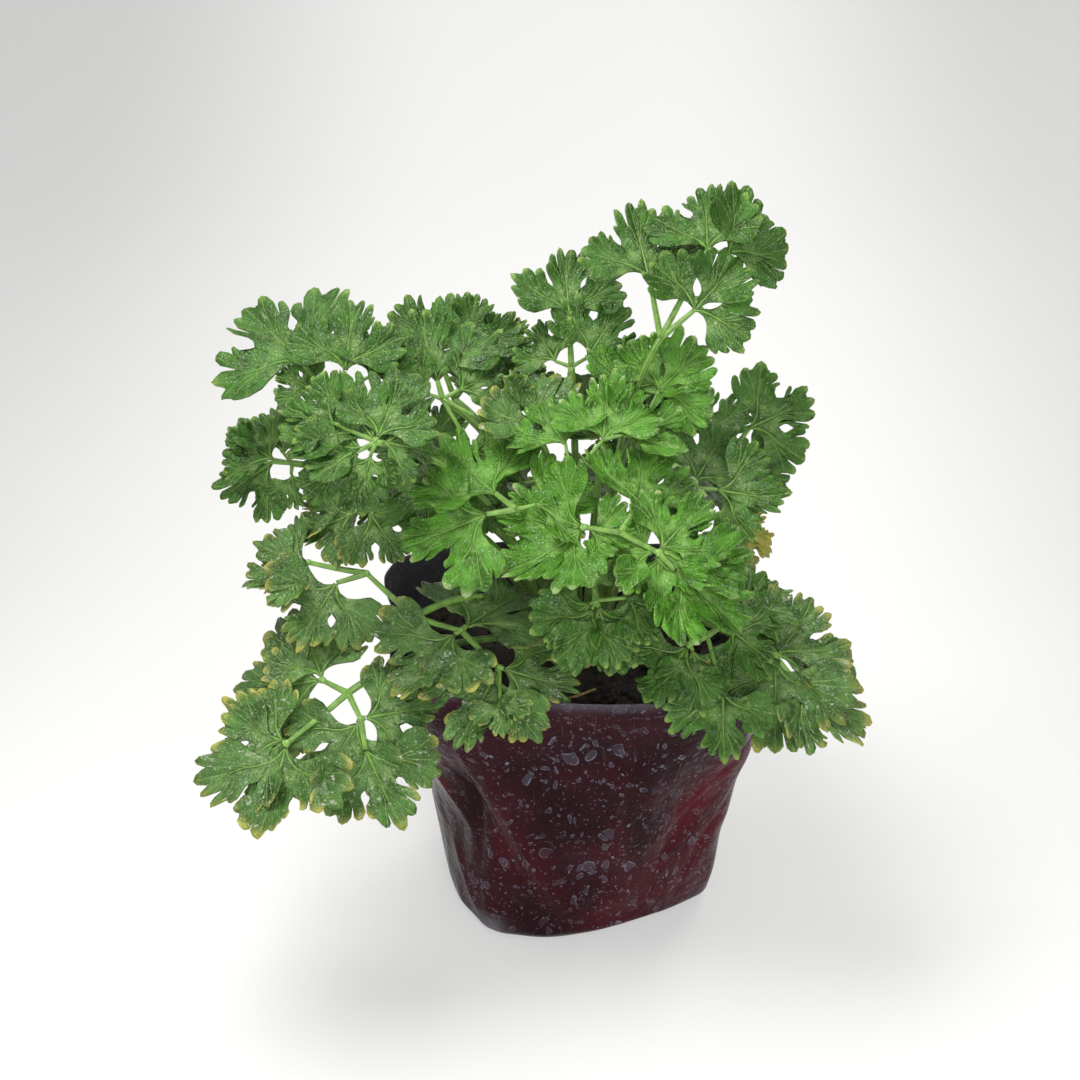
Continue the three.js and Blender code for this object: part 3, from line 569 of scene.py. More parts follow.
def mapped_grid(columns, rows, place, layers=PLANT_LAYERS):
    """A grid whose vertex in each column and row goes where place says, with its layer values."""
    bm = bmesh.new()
    kept = [bm.verts.layers.float_vector.new(name) for name in layers]
    bmesh.ops.create_grid(bm, x_segments=columns - 1, y_segments=rows - 1, size=0.5)
    for vert in bm.verts:
        column = round((vert.co.x + 0.5) * (columns - 1))
        row = round((vert.co.y + 0.5) * (rows - 1))
        vert.co, *values = place(column, row)
        for layer, value in zip(kept, values):
            vert[layer] = value
    return bm


def smoothstep(low, high, value):
    """0 below low, 1 above high, smooth between."""
    share = min(1.0, max(0.0, (value - low) / (high - low)))
    return share * share * (3 - 2 * share)


def direction(heading, pitch):
    """Unit vector with this compass heading and pitch in degrees."""
    heading, pitch = math.radians(heading), math.radians(pitch)
    return Vector((math.cos(heading) * math.cos(pitch), math.sin(heading) * math.cos(pitch), math.sin(pitch)))


def bezier(points, share):
    """A point on a cubic curve."""
    a, b, c, d = points
    rest = 1 - share
    return a * rest**3 + b * 3 * rest * rest * share + c * 3 * rest * share * share + d * share**3


def close_up(bm, dist=SAME_PLACE):
    """Sews a mapped grid's seam and poles, caps its ends and turns its faces outwards."""
    bmesh.ops.remove_doubles(bm, verts=bm.verts, dist=dist)
    bmesh.ops.holes_fill(bm, edges=bm.edges, sides=0)
    bmesh.ops.recalc_face_normals(bm, faces=bm.faces)


def split_caps(bm):
    """Splits the wide caps into triangles."""
    bmesh.ops.triangulate(bm, faces=[face for face in bm.faces if len(face.verts) > 4])


def ribbed_tube(path, radius, upward, sides=14, groove=0.3, pale_foot=0.0):
    """A closed tube along a path, channelled on the side that faces upward, with values for its ribs."""
    rows = len(path)
    lengths = [0.0]
    for first, second in zip(path, path[1:]):
        lengths.append(lengths[-1] + (second - first).length)

    def place(column, row):
        ahead = (path[min(row + 1, rows - 1)] - path[max(row - 1, 0)]).normalized()
        top = (upward - ahead * upward.dot(ahead)).normalized()
        side = ahead.cross(top)
        turn = 2 * math.pi * column / sides
        away = math.atan2(math.sin(turn), math.cos(turn))
        shape = 1 - groove * math.exp(-((away / 0.55) ** 2)) + 0.04 * math.cos(6 * turn)
        width = radius(row / (rows - 1)) * shape
        place_at = path[row] + top * math.cos(turn) * width + side * math.sin(turn) * width
        pale = smoothstep(pale_foot, 0.0, lengths[row]) if pale_foot else 0.0
        return place_at, (away, lengths[row], pale), (0.0, 0.0, 0.0)

    bm = mapped_grid(sides + 1, rows, place)
    close_up(bm)
    return bm


# ---------------------------------------------------------------- the fronds' layout


def fork_of(frond):
    """Where a frond's bare stalk ends and its blade begins."""
    heading, reach, height = frond[:3]
    return direction(heading, 0) * reach + Vector((CROWN.x, CROWN.y, height))


def crown_places():
    """Each stalk's start on the crown: around two rings, in the order of their headings."""
    places = {}
    for outer in (True, False):
        ring = sorted(
            (name for name in FRONDS if (FRONDS[name][1] >= OUTER_REACH) == outer),
            key=lambda name: FRONDS[name][0] % 360,
        )
        step = 360 / len(ring)
        first = sum(FRONDS[name][0] % 360 - i * step for i, name in enumerate(ring)) / len(ring)
        for i, name in enumerate(ring):
            own = FRONDS[name][0] % 360
            heading = own + SPREADING * (first + i * step - own)
            places[name] = direction(heading, 0) * CROWN_RINGS["outer" if outer else "inner"]
    return places


def petiole_points(frond, place):
    """The four points of a stalk's curve from the crown up, then out to its fork."""
    heading, reach = frond[:2]
    outward, fork = direction(heading, 0), fork_of(frond)
    rise = fork.z - CROWN.z
    start = CROWN + place - Vector((0, 0, 1.5))
    lower = start + outward * 0.15 * reach + Vector((0, 0, 0.5 * rise + 12))
    upper = fork - outward * 0.4 * reach + Vector((0, 0, 20 - 0.3 * rise))
    return start, lower, upper, fork


def blade_axes(face):
    """Normal, uphill and rightward directions of a blade that faces a heading and pitch."""
    normal = direction(*face)
    up = (Vector((0, 0, 1)) - normal * normal.z).normalized()
    return normal, up, up.cross(normal)


def along(axes, bearing):
    """The direction in a blade's plane at a bearing clockwise from uphill."""
    bearing = math.radians(bearing)
    return axes[1] * math.cos(bearing) + axes[2] * math.sin(bearing)


def leaflet_matrix(hub, axes, pointing, index):
    """Where a leaflet lies: its X runs to its tip and its Z out of its upper side."""
    roll = math.radians(16 * math.sin(2.4 * index + 0.7))
    droop = math.radians(12 + 10 * math.sin(3.7 * index + 1.3))
    ahead = along(axes, pointing)
    across = axes[0].cross(ahead)
    turned = Matrix((ahead, across, axes[0])).transposed().to_4x4()
    turned = turned @ Matrix.Rotation(droop, 4, "Y") @ Matrix.Rotation(roll, 4, "X")
    return Matrix.Translation(hub) @ turned


# ---------------------------------------------------------------- leaflets

# Lobes of a leaflet: the bearings of its two sides, the bearing of its tip, and its length as a share.
LOBES = {
    "fan": [(-84, -24, -52, 0.92), (-24, 24, 0, 1.0), (24, 84, 52, 0.92)],
    "duo": [(-80, 0, -39, 0.98), (0, 80, 39, 0.98)],
    "trio": [(-116, -40, -76, 0.9), (-38, 38, 0, 1.0), (40, 116, 76, 0.9)],
}
# How deep the clefts between lobes reach in, as shares of the length from the base: the least and the most.
CLEFTS = {"fan": (0.4, 0.6), "duo": (0.24, 0.4), "trio": (0.13, 0.24)}
# How many teeth each lobule of a lobe has. Cuts between lobules are deep and those between teeth shallow.
LOBULES = {
    "fan": ((1, 3, 1), (2, 2, 1), (1, 2, 2), (1, 3, 2), (2, 3, 1)),
    "duo": ((2, 2, 2), (2, 3, 1), (1, 3, 2), (2, 3, 2)),
    "trio": ((2, 3, 2), (2, 2, 2), (1, 3, 2), (2, 3, 1)),
}
LOBULE_CUT = {"fan": (0.16, 0.3), "duo": (0.19, 0.34), "trio": (0.25, 0.4)}
TOOTH_CUT = (0.06, 0.12)
# Leaflets are longer than the plain ones in the frame, because they curve, droop and overlap.
FULLNESS = 1.1
# Where a tooth's columns stand across it, and how many columns a lobe's side has.
TOOTH_STEPS = (0.0, 0.08, 0.26, 0.5, 0.74, 0.92)
MARGIN_STEPS = 5
BASE_SHARE = 0.04
BLADE_ROWS = 13


def lobe_outline(lobe, bearing):
    """A lobe's smooth outline as a share of the leaflet's length: highest at its tip, low at its sides."""
    first, last, tip, length = lobe
    away = (bearing - tip) / ((last if bearing > tip else first) - tip)
    return length * (1 - 0.3 * abs(away) ** 2.2)


def lobe_columns(kind, number, clefts, rng):
    """One lobe's columns, left to right: its side, its teeth with their cuts, and its other side."""
    lobe = LOBES[kind][number]
    first, last = lobe[:2]
    lobules = rng.choice(LOBULES[kind])
    widths, depths = [], []
    for lobule, teeth in enumerate(lobules):
        for tooth in range(teeth):
            deep = LOBULE_CUT[kind] if tooth == 0 and lobule > 0 else TOOTH_CUT
            widths.append(rng.uniform(0.85, 1.15))
            depths.append((rng.uniform(*deep), lobule))
    cuts = [first + (last - first) * sum(widths[:i]) / sum(widths) for i in range(len(widths) + 1)]

    def side(bearing, cleft):
        end = lobe_outline(lobe, bearing) * 0.93
        return [
            {
                "bearing": bearing,
                "edge": cleft + (end - cleft) * i / MARGIN_STEPS,
                "curl": 0.0,
                "lobule": 0 if bearing == first else len(lobules) - 1,
                "tooth": 0.0,
            }
            for i in range(MARGIN_STEPS)
        ]

    columns = side(first, clefts[0])
    for tooth, (left, right) in enumerate(zip(cuts, cuts[1:])):
        depth, lobule = depths[tooth]
        if tooth == 0:
            depth = TOOTH_CUT[0]
        reach, curl, crown = rng.uniform(0.94, 1.06), rng.uniform(-0.6, 1.0), rng.uniform(1.6, 2.4)
        tip_colour = rng.random() ** 1.5
        for step in TOOTH_STEPS:
            bearing = left + (right - left) * step
            edge = lobe_outline(lobe, bearing)
            rise = 1 - abs(2 * step - 1) ** crown
            cut = depth if step == 0 else TOOTH_CUT[1] * (1 - rise)
            columns.append({
                "bearing": bearing,
                "edge": edge * (1 - cut) * (1 + (reach - 1) * rise),
                "curl": curl * rise,
                "lobule": lobule,
                "tooth": tip_colour * rise,
            })
    columns += side(last, clefts[1])[::-1]
    return columns, cuts, len(lobules)


def leaflet_habit(kind, length, age, rng):
    """How one leaflet stands and its small differences, from its age."""
    return {
        "length": length,
        "cup": rng.uniform(-0.05, 0.2) * (1 - age),
        "trough": rng.uniform(0.02, 0.22),
        "lobe_trough": rng.uniform(0.1, 0.34),
        "ruffle": rng.uniform(0.015, 0.045) * (1.2 - 0.5 * age),
        "waves": rng.uniform(4.0, 7.0),
        "phase": rng.uniform(0, 6.28),
        "droop": rng.uniform(-0.04, 0.14) + 0.12 * age,
        "overlap": rng.uniform(0.08, 0.28),
        "pinch": rng.uniform(0.14, 0.32),
        "curl": rng.uniform(0.04, 0.13) * (1.2 - 0.8 * age),
        "own": rng.random(),
        "gather": 0.75 if kind == "trio" else 0.5,
    }


def tooth_place(cuts, bearing):
    """Which tooth a bearing falls in, with the share of the way across it, and that tooth's width."""
    bearing = min(max(bearing, cuts[0]), cuts[-1] - 1e-4)
    for number, (left, right) in enumerate(zip(cuts, cuts[1:])):
        if bearing < right:
            return number + (bearing - left) / (right - left), right - left
    return len(cuts) - 1.0, 0.0


def leaf_spot(habit, lobe, bearing, far, share, column):
    """Where a point of the leaflet lies, and how far it is from its lobe's midrib."""
    length, tip = habit["length"], lobe["tip"]
    side = bearing - tip
    cleft = lobe["clefts"][0 if side < 0 else 1]
    free = smoothstep(cleft, min(cleft + 0.45, 0.95), far)
    spread = 1 + habit["overlap"] * free
    if cleft > BASE_SHARE:
        nearness = math.exp(-(((far - cleft - 0.09) / 0.1) ** 2))
        spread -= habit["pinch"] * nearness * smoothstep(cleft, cleft + 0.05, far)
    opened = smoothstep(0.02, 0.5, far)
    middle = math.radians(tip * (habit["gather"] + (1 - habit["gather"]) * opened))
    relative = math.radians(side * spread * (0.45 + 0.55 * opened))
    turned, radius = middle + relative, far * length
    across = relative * radius
    height = (habit["cup"] * far**2 - habit["droop"] * far**2.4) * length
    height += habit["trough"] * abs(math.sin(turned)) * radius * smoothstep(0.1, 0.5, far)
    height += (habit["lobe_trough"] * abs(across) + lobe["twist"] * across) * free
    height += lobe["lift"] * max(0.0, far - lobe["clefts"][0]) * length * free
    lobule_lift = lobe["lobule_lifts"][column["lobule"]]
    height += lobule_lift * max(0.0, far - 0.55) * length * smoothstep(0.5, 0.8, far)
    height += habit["ruffle"] * length * share**3 * math.sin(habit["waves"] * turned + habit["phase"])
    height += habit["curl"] * length * column["curl"] * smoothstep(0.75, 1.0, share)
    return Vector((radius * math.cos(turned), radius * math.sin(turned), height)), abs(across)


def midrib_tube(habit, lobe, age):
    """The raised midrib of a lobe, fading into the blade two thirds of the way to the tip."""
    plain = {"lobule": 0, "curl": 0.0}
    reach = 0.62 * lobe["outline"][3]
    path = [leaf_spot(habit, lobe, lobe["tip"], 0.02 + reach * i / 9, 0.5, plain)[0] for i in range(10)]
    thick = (0.62 if habit["length"] > 20 else 0.42) + 0.1 * age
    lowered = [spot - Vector((0, 0, 0.72 * thick * (1 - i / 9) + 0.2)) for i, spot in enumerate(path)]
    return ribbed_tube(lowered, lambda t: thick * (1 - 0.75 * t), Vector((0, 0, 1)), 8, 0.0)


def leaflet_bmesh(kind, length, age, sizes, rng):
    """One leaflet about its own base: a toothed, lobed, quilted sheet with its thickness and its midribs."""
    length *= FULLNESS
    habit = leaflet_habit(kind, length, age, rng)
    count = len(LOBES[kind])
    clefts = [BASE_SHARE] + [rng.uniform(*CLEFTS[kind]) for _ in range(count - 1)] + [BASE_SHARE]
    lobes, columns = [], []
    for number, outline in enumerate(LOBES[kind]):
        own, cuts, lobules = lobe_columns(kind, number, clefts[number : number + 2], rng)
        if number:
            columns.append(({**own[0], "bearing": outline[0], "edge": clefts[number] * 0.94}, number))
        columns += [(column, number) for column in own]
        lobes.append({
            "outline": outline,
            "tip": outline[2],
            "clefts": clefts[number : number + 2],
            "cuts": cuts,
            "lift": (0.1 if number % 2 else -0.04) + rng.uniform(-0.1, 0.12),
            "twist": rng.uniform(-0.18, 0.18),
            "lobule_lifts": [rng.uniform(-0.16, 0.2) for _ in range(lobules)],
        })
    columns = columns[::-1]
    quilting = sizes.quilting / MM

    def place(number, row):
        column, lobe = columns[number][0], lobes[columns[number][1]]
        share = 0.03 + 0.97 * (row / (BLADE_ROWS - 1)) ** 0.85
        smooth = min(column["edge"] * 1.1, lobe_outline(lobe["outline"], column["bearing"]) * 0.93)
        far = share * (smooth + (column["edge"] - smooth) * share**3)
        spot, across = leaf_spot(habit, lobe, column["bearing"], far, share, column)
        grown = max(0.1, (far / lobe["outline"][3] - 0.28) / 0.72)
        vein, width = tooth_place(lobe["cuts"], lobe["tip"] + (column["bearing"] - lobe["tip"]) / grown)
        width = math.radians(width) * grown * far * length
        bulge = math.cos(2 * math.pi * vein) * min(1.0, width / 2.6)
        spot.z += quilting * bulge * smoothstep(0.15, 0.45, far)
        blister = noise.noise(Vector((spot.x / 4.2, spot.y / 4.2, 9 * habit["own"])))
        spot.z += quilting * 1.5 * blister * smoothstep(0.1, 0.35, far)
        spot.z -= quilting * 1.3 * math.exp(-((across / 0.8) ** 2)) * smoothstep(0.05, 0.2, far)
        tooth = column["tooth"] * smoothstep(0.94 - 0.06 * age, 1.0, share)
        return spot, (vein, width, share), (habit["own"], tooth, across)

    bm = mapped_grid(len(columns), BLADE_ROWS, place)
    under = bmesh.ops.solidify(bm, geom=bm.faces[:], thickness=sizes.leaf_thickness / MM)
    for face in (part for part in under["geom"] if isinstance(part, bmesh.types.BMFace)):
        face.material_index = 1
    for lobe in lobes:
        midrib = midrib_tube(habit, lobe, age)
        for face in midrib.faces:
            face.material_index = 2
        absorb(bm, midrib)
    return bm


# A branch's radius in millimetres: stout ones carry a fork or a leaflet longer than the second value.
STOUT_BRANCH = 1.15
STOUT_LEAFLET = 26
FINE_BRANCH = 0.8


def blade_bmesh(frond, sizes, rng):
    """A frond's whole blade: its branching stalks and its leaflets."""
    bm = bmesh.new()
    for layer in PLANT_LAYERS:
        bm.verts.layers.float_vector.new(layer)
    axes, fork, age, hubs = blade_axes(frond[3]), fork_of(frond), frond[4], []
    for index, part in enumerate(frond[5]):
        kind, bearing, distance, *rest = part
        length, pointing, *source = rest or (0.0, 0.0)
        root = hubs[source[0]] if source else fork
        hub = root + along(axes, bearing) * distance
        hubs.append(hub)
        thick = STOUT_BRANCH if kind == "node" or length > STOUT_LEAFLET else FINE_BRANCH
        sag = (root + hub) / 2 - axes[0] * 0.05 * distance
        path = [root.lerp(sag, t).lerp(sag.lerp(hub, t), t) for t in (i / 8 for i in range(9))]
        if distance > 0:
            stalk = ribbed_tube(path, lambda t: thick * (1.2 - 0.35 * t), axes[0], 10)
            for face in stalk.faces:
                face.material_index = 2
            absorb(bm, stalk)
        if kind == "node":
            swollen = Matrix.Translation(hub) @ Matrix.Scale(0.8, 4, axes[0])
            knuckle = bmesh.ops.create_icosphere(bm, subdivisions=2, radius=1.3 * thick, matrix=swollen)
            for face in {face for vert in knuckle["verts"] for face in vert.link_faces}:
                face.material_index = 2
        else:
            leaflet = leaflet_bmesh(kind, length, age, sizes, rng)
            set_out = leaflet_matrix(hub, axes, pointing, index)
            bmesh.ops.transform(leaflet, matrix=set_out, verts=leaflet.verts)
            absorb(bm, leaflet)
    return bm


# ---------------------------------------------------------------- the bag and the soil


def plan_radius(plan, angle):
    """The plan's radius at an angle, on a smooth closed curve through its values."""
    place = angle / (2 * math.pi) % 1 * len(plan)
    first = math.floor(place)
    share = place - first
    a, b, c, d = (plan[(first + i) % len(plan)] for i in (-1, 0, 1, 2))
    curve = (2 * a - 5 * b + 4 * c - d) * share + (3 * b - a - 3 * c + d) * share * share
    return b + 0.5 * share * (c - a + curve)


def turn_from(angle, heading):
    """Degrees from a heading to an angle, between -180 and 180."""
    apart = angle - math.radians(heading)
    return math.degrees(math.atan2(math.sin(apart), math.cos(apart)))


def fold_depth(angle, height):
    """How far the large folds press the film in."""
    return sum(
        depth * math.exp(-((turn_from(angle, heading) / width) ** 2) - ((height - level) / spread) ** 2)
        for heading, level, width, spread, depth in FOLDS
    )


def bag_radius(angle, height):
    """The bag's outer radius."""
    share = (max(0.0, height) / BAG_HEIGHT) ** 0.85
    base = plan_radius(BASE_PLAN, angle)
    return base + (plan_radius(RIM_PLAN, angle) - base) * share - fold_depth(angle, height)


# Sharp creases in the film: heading and height at each end, half width in degrees, depth, and redness, which
# is the strength of a painted red glow of light along the crease.
CREASES = [
    (214, 96, 240, 44, 7, 2.6, 0.6),
    (205, 84, 222, 52, 5, -1.8, 1.0),
    (222, 100, 226, 50, 4, 2.2, 0.2),
    (236, 74, 262, 14, 5, -1.4, 0.3),
    (208, 40, 224, 8, 4, -1.2, 0.2),
    (335, 100, 305, 40, 7, 2.4, 0.9),
    (328, 84, 312, 60, 4, -1.6, 1.0),
    (338, 70, 318, 22, 6, 1.4, 0.5),
    (284, 128, 282, 30, 2.2, -0.8, 0.1),
    (345, 112, 350, 40, 5, 1.4, 0.4),
    (20, 110, 45, 40, 7, 2.2, 0.5),
    (75, 95, 60, 30, 6, 1.8, 0.4),
    (120, 100, 140, 40, 7, 2.4, 0.6),
    (165, 110, 170, 40, 5, 1.6, 0.4),
]
# Headings of the corners where the flat bottom was folded.
BASE_CORNERS = (48, 136, 229, 338)
# The hollow on the left, darkened with painted shade: its heading and height, with how far it spreads in
# each.
HOLLOW_SHADE_PLACE = {"heading": 221, "height": 68, "width": 8, "spread": 17}
# The band below the mouth that waves, and the mean radius that turns headings into lengths of film.
HEM_BAND = 12
FILM_RADIUS = 68
FILM_COLUMNS = 330
FILM_ROWS = 96


def crease_at(angle, height):
    """The depth that the sharp creases press the film in, and the strength of the painted red glow of light
    along them.
    """
    depth = glow = 0.0
    for first, top, last, bottom, width, deep, red in CREASES:
        share = min(1.0, max(0.0, (top - height) / (top - bottom)))
        beyond = max(0.0, height - top, bottom - height)
        apart = abs(turn_from(angle, first + (last - first) * share)) / width
        near = math.exp(-((beyond / 9) ** 2)) * math.sin(math.pi * (0.12 + 0.76 * share))
        depth += 1.5 * deep * near * math.exp(-1.25 * apart)
        glow = max(glow, red * near * math.exp(-((apart / 1.7) ** 2)))
    return depth, glow


def film_place(angle, height, inset):
    """A point on the film and the values its material reads."""
    depth, glow = crease_at(angle, height)
    lift = smoothstep(0, 10, height)
    puckers = noise.noise(Vector((math.cos(angle) * 3.1, math.sin(angle) * 3.1, height / 24))) * 1.6
    puckers += noise.noise(Vector((math.cos(angle) * 9, math.sin(angle) * 9, height / 46))) * 0.7
    hem = smoothstep(BAG_HEIGHT - HEM_BAND, BAG_HEIGHT, height)
    wave = hem * 1.4 * math.sin(7 * angle + 0.6)
    rounding = 3.0 * (1 - smoothstep(0, 4, height))
    radius = bag_radius(angle, height) - lift * (depth + puckers * 0.8 + 0.6) + wave - rounding - inset
    corner = max(math.exp(-((turn_from(angle, at) / 8) ** 2)) for at in BASE_CORNERS)
    # At the base corners the film is empty, and the floor seen through it is painted in as grey.
    clear = corner**2 * (1 - smoothstep(4, 15, height))
    radius += 3.0 * corner * (1 - smoothstep(2, 46, height))
    top = height + hem * (1.6 * math.sin(3 * angle + 0.4) - 1.6)
    place = Vector((math.cos(angle) * radius, math.sin(angle) * radius, top))
    # Painted shade darkens the hollow, and the creases carry a painted red glow of light: together they make
    # one channel.
    aside = turn_from(angle, HOLLOW_SHADE_PLACE["heading"]) / HOLLOW_SHADE_PLACE["width"]
    painted_shade = math.exp(-(aside**2) - ((height - HOLLOW_SHADE_PLACE["height"]) / HOLLOW_SHADE_PLACE["spread"]) ** 2)
    painted_glow_and_shade = glow * (1 - painted_shade) - painted_shade
    return place, (angle * FILM_RADIUS, height, 0.0), (painted_glow_and_shade, clear, 1.0 if inset > 0 else hem**4 * 0.8)


def bag_bmesh(thickness):
    """The film: a flat base, its wall outside and inside, and the thin edge of its mouth."""
    heights = [0.0, 0.8, 1.8, 3.2]
    heights += [3.2 + (BAG_HEIGHT - 3.2) * (i / (FILM_ROWS - 4)) for i in range(1, FILM_ROWS - 3)]
    inner = [height for height in heights[::-1] if height > 2]

    def place(column, row):
        angle = 2 * math.pi * column / FILM_COLUMNS
        if row < len(heights):
            return film_place(angle, heights[row], 0.0)
        return film_place(angle, inner[row - len(heights)], thickness)

    bm = mapped_grid(FILM_COLUMNS + 1, len(heights) + len(inner), place, FILM_LAYERS)
    close_up(bm)
    split_caps(bm)
    return bm


# The soil stands this far inside the film.
SOIL_GAP = 1.0
SOIL_COLUMNS = 220
SOIL_RINGS = 70


def soil_height(x, y):
    """The lumpy surface: higher at the front and right, lower at the left."""
    at = Vector((x, y, 0))
    lumps = noise.fractal(at / 9, 1.0, 2.0, 5) * 1.9 + noise.noise(at / 26) * 2.2
    return SOIL_TOP - 3.2 + lumps - 0.035 * max(0.0, -x) + 0.03 * max(0.0, -y)


def soil_bmesh():
    """One closed body: floor, sides against the film, and the lumpy top."""
    sides = [3.0 + 9.2 * i for i in range(12)]

    def place(column, row):
        angle = 2 * math.pi * column / SOIL_COLUMNS
        if row < len(sides):
            return film_place(angle, sides[row], SOIL_GAP)[0], *NO_VALUES
        share = 1 - (row - len(sides)) / SOIL_RINGS
        radius = film_place(angle, sides[-1], SOIL_GAP)[0].xy.length * max(share, 0.002)
        x, y = math.cos(angle) * radius, math.sin(angle) * radius
        return Vector((x, y, soil_height(x, y))), *NO_VALUES

    bm = mapped_grid(SOIL_COLUMNS + 1, len(sides) + SOIL_RINGS + 1, place)
    close_up(bm, dist=0.02)
    split_caps(bm)
    return bm


def scatter_crumbs(bm, count, rng):
    """Loose crumbs of the mix, each a small rough ball of twenty faces."""
    for _ in range(count):
        angle, share = rng.uniform(0, 2 * math.pi), math.sqrt(rng.random()) * 0.94
        radius = (bag_radius(angle, SOIL_TOP) - 7) * share
        x, y = math.cos(angle) * radius, math.sin(angle) * radius
        size = rng.uniform(0.6, 1.1) * rng.choice((1.0, 1.4, 2.4))
        stretch = Matrix.Diagonal((rng.uniform(0.7, 1.5), rng.uniform(0.7, 1.2), rng.uniform(0.5, 0.9), 1))
        turn = Matrix.Rotation(rng.uniform(0, 6.28), 4, Vector((rng.random(), rng.random(), 1)).normalized())
        matrix = Matrix.Translation((x, y, soil_height(x, y) + 0.3 * size)) @ turn @ stretch
        made = bmesh.ops.create_icosphere(bm, subdivisions=1, radius=size, matrix=matrix)
        for vert in made["verts"]:
            vert.co += Vector((rng.uniform(-1, 1), rng.uniform(-1, 1), rng.uniform(-1, 1))) * 0.22 * size


# ---------------------------------------------------------------- operators


class GrowLeaves(bpy.types.Operator):
    """Grow every frond's blade"""

    bl_idname = "parsley.grow_leaves"
    bl_label = "Grow the leaves"

    def execute(self, context):
        sizes, colours = context.scene.parsley_sizes, context.scene.parsley_colours
        for number, (name, frond) in enumerate(FRONDS.items()):
            rng = random.Random(sizes.seed * 100 + number)
            bm = blade_bmesh(frond, sizes, rng)
            blade = finished(f"{name}_blade", bm, leaf_materials(frond[4], colours))
            hand_over(blade, f"leaf_{name}")
        return {"FINISHED"}


STALK_STEPS = 30
# How far up from the crown a stalk stays whitish, in millimetres.
PALE_FOOT = 45.0


class GrowStalks(bpy.types.Operator):
    """Grow every frond's bare stalk from the crown to its fork"""

    bl_idname = "parsley.grow_stalks"
    bl_label = "Grow the stalks"

    def execute(self, context):
        sizes, colours = context.scene.parsley_sizes, context.scene.parsley_colours
        radius = sizes.stalk_radius / MM
        places = crown_places()
        for name, frond in FRONDS.items():
            points = petiole_points(frond, places[name])
            path = [bezier(points, i / STALK_STEPS) for i in range(STALK_STEPS + 1)]
            upward = Vector((0, 0, 1)) - direction(frond[0], 0) * 0.8
            bm = ribbed_tube(path, lambda t: radius * (1 + 0.35 * (1 - t) ** 3), upward, pale_foot=PALE_FOOT)
            stalk = finished(f"{name}_stalk", bm, leaf_materials(frond[4], colours)[2:])
            hand_over(stalk, f"stem_{name}")
        return {"FINISHED"}


class FillSoil(bpy.types.Operator):
    """Fill the bag with lumpy potting mix and scatter crumbs on it"""

    bl_idname = "parsley.fill_soil"
    bl_label = "Fill the soil"

    def execute(self, context):
        sizes, colours = context.scene.parsley_sizes, context.scene.parsley_colours
        bm = soil_bmesh()
        scatter_crumbs(bm, sizes.crumbs, random.Random(sizes.seed))
        hand_over(finished("potting_mix", bm, [soil_material(colours)]), "soil")
        return {"FINISHED"}


class BlowBag(bpy.types.Operator):
    """Form the film bag with its creases and hem"""

    bl_idname = "parsley.blow_bag"
    bl_label = "Form the bag"

    def execute(self, context):
        sizes, colours = context.scene.parsley_sizes, context.scene.parsley_colours
        bm = bag_bmesh(sizes.film_thickness / MM)
        hand_over(finished("film_bag", bm, [film_material(colours)]), "grow_bag")
        return {"FINISHED"}


# The root's outline from the tip of the taproot up to the crown: shares of its depth and of its radius.
ROOT_PROFILE = [(0.0, 0.02), (0.2, 0.12), (0.5, 0.34), (0.78, 0.62), (0.9, 0.86), (0.96, 0.98), (1.0, 0.8)]
ROOT_RADIUS = 16
ROOT_COLUMNS = 36


class GrowRoot(bpy.types.Operator):
    """Grow the crown and its taproot"""

    bl_idname = "parsley.grow_root"
    bl_label = "Grow the root"

    def execute(self, context):
        low, high = corner_mm("rootstock", 0), corner_mm("rootstock", 1)
        depth = high.z - low.z

        def place(column, row):
            share, width = ROOT_PROFILE[row]
            turn = 2 * math.pi * column / ROOT_COLUMNS
            rough = 1 + 0.08 * noise.noise(Vector((math.cos(turn) * 2, math.sin(turn) * 2, share * 9)))
            radius = width * ROOT_RADIUS * rough
            height = low.z + share * depth - 0.4
            where = Vector((CROWN.x + math.cos(turn) * radius, CROWN.y + math.sin(turn) * radius, height))
            return where, *NO_VALUES

        bm = mapped_grid(ROOT_COLUMNS + 1, len(ROOT_PROFILE), place)
        close_up(bm)
        skin = plain_fibre_material("pale parsley root", "#8a7f4e", "#c3bd86", 4.55, 0.7)
        hand_over(finished("crown_and_taproot", bm, [skin]), "rootstock")
        return {"FINISHED"}


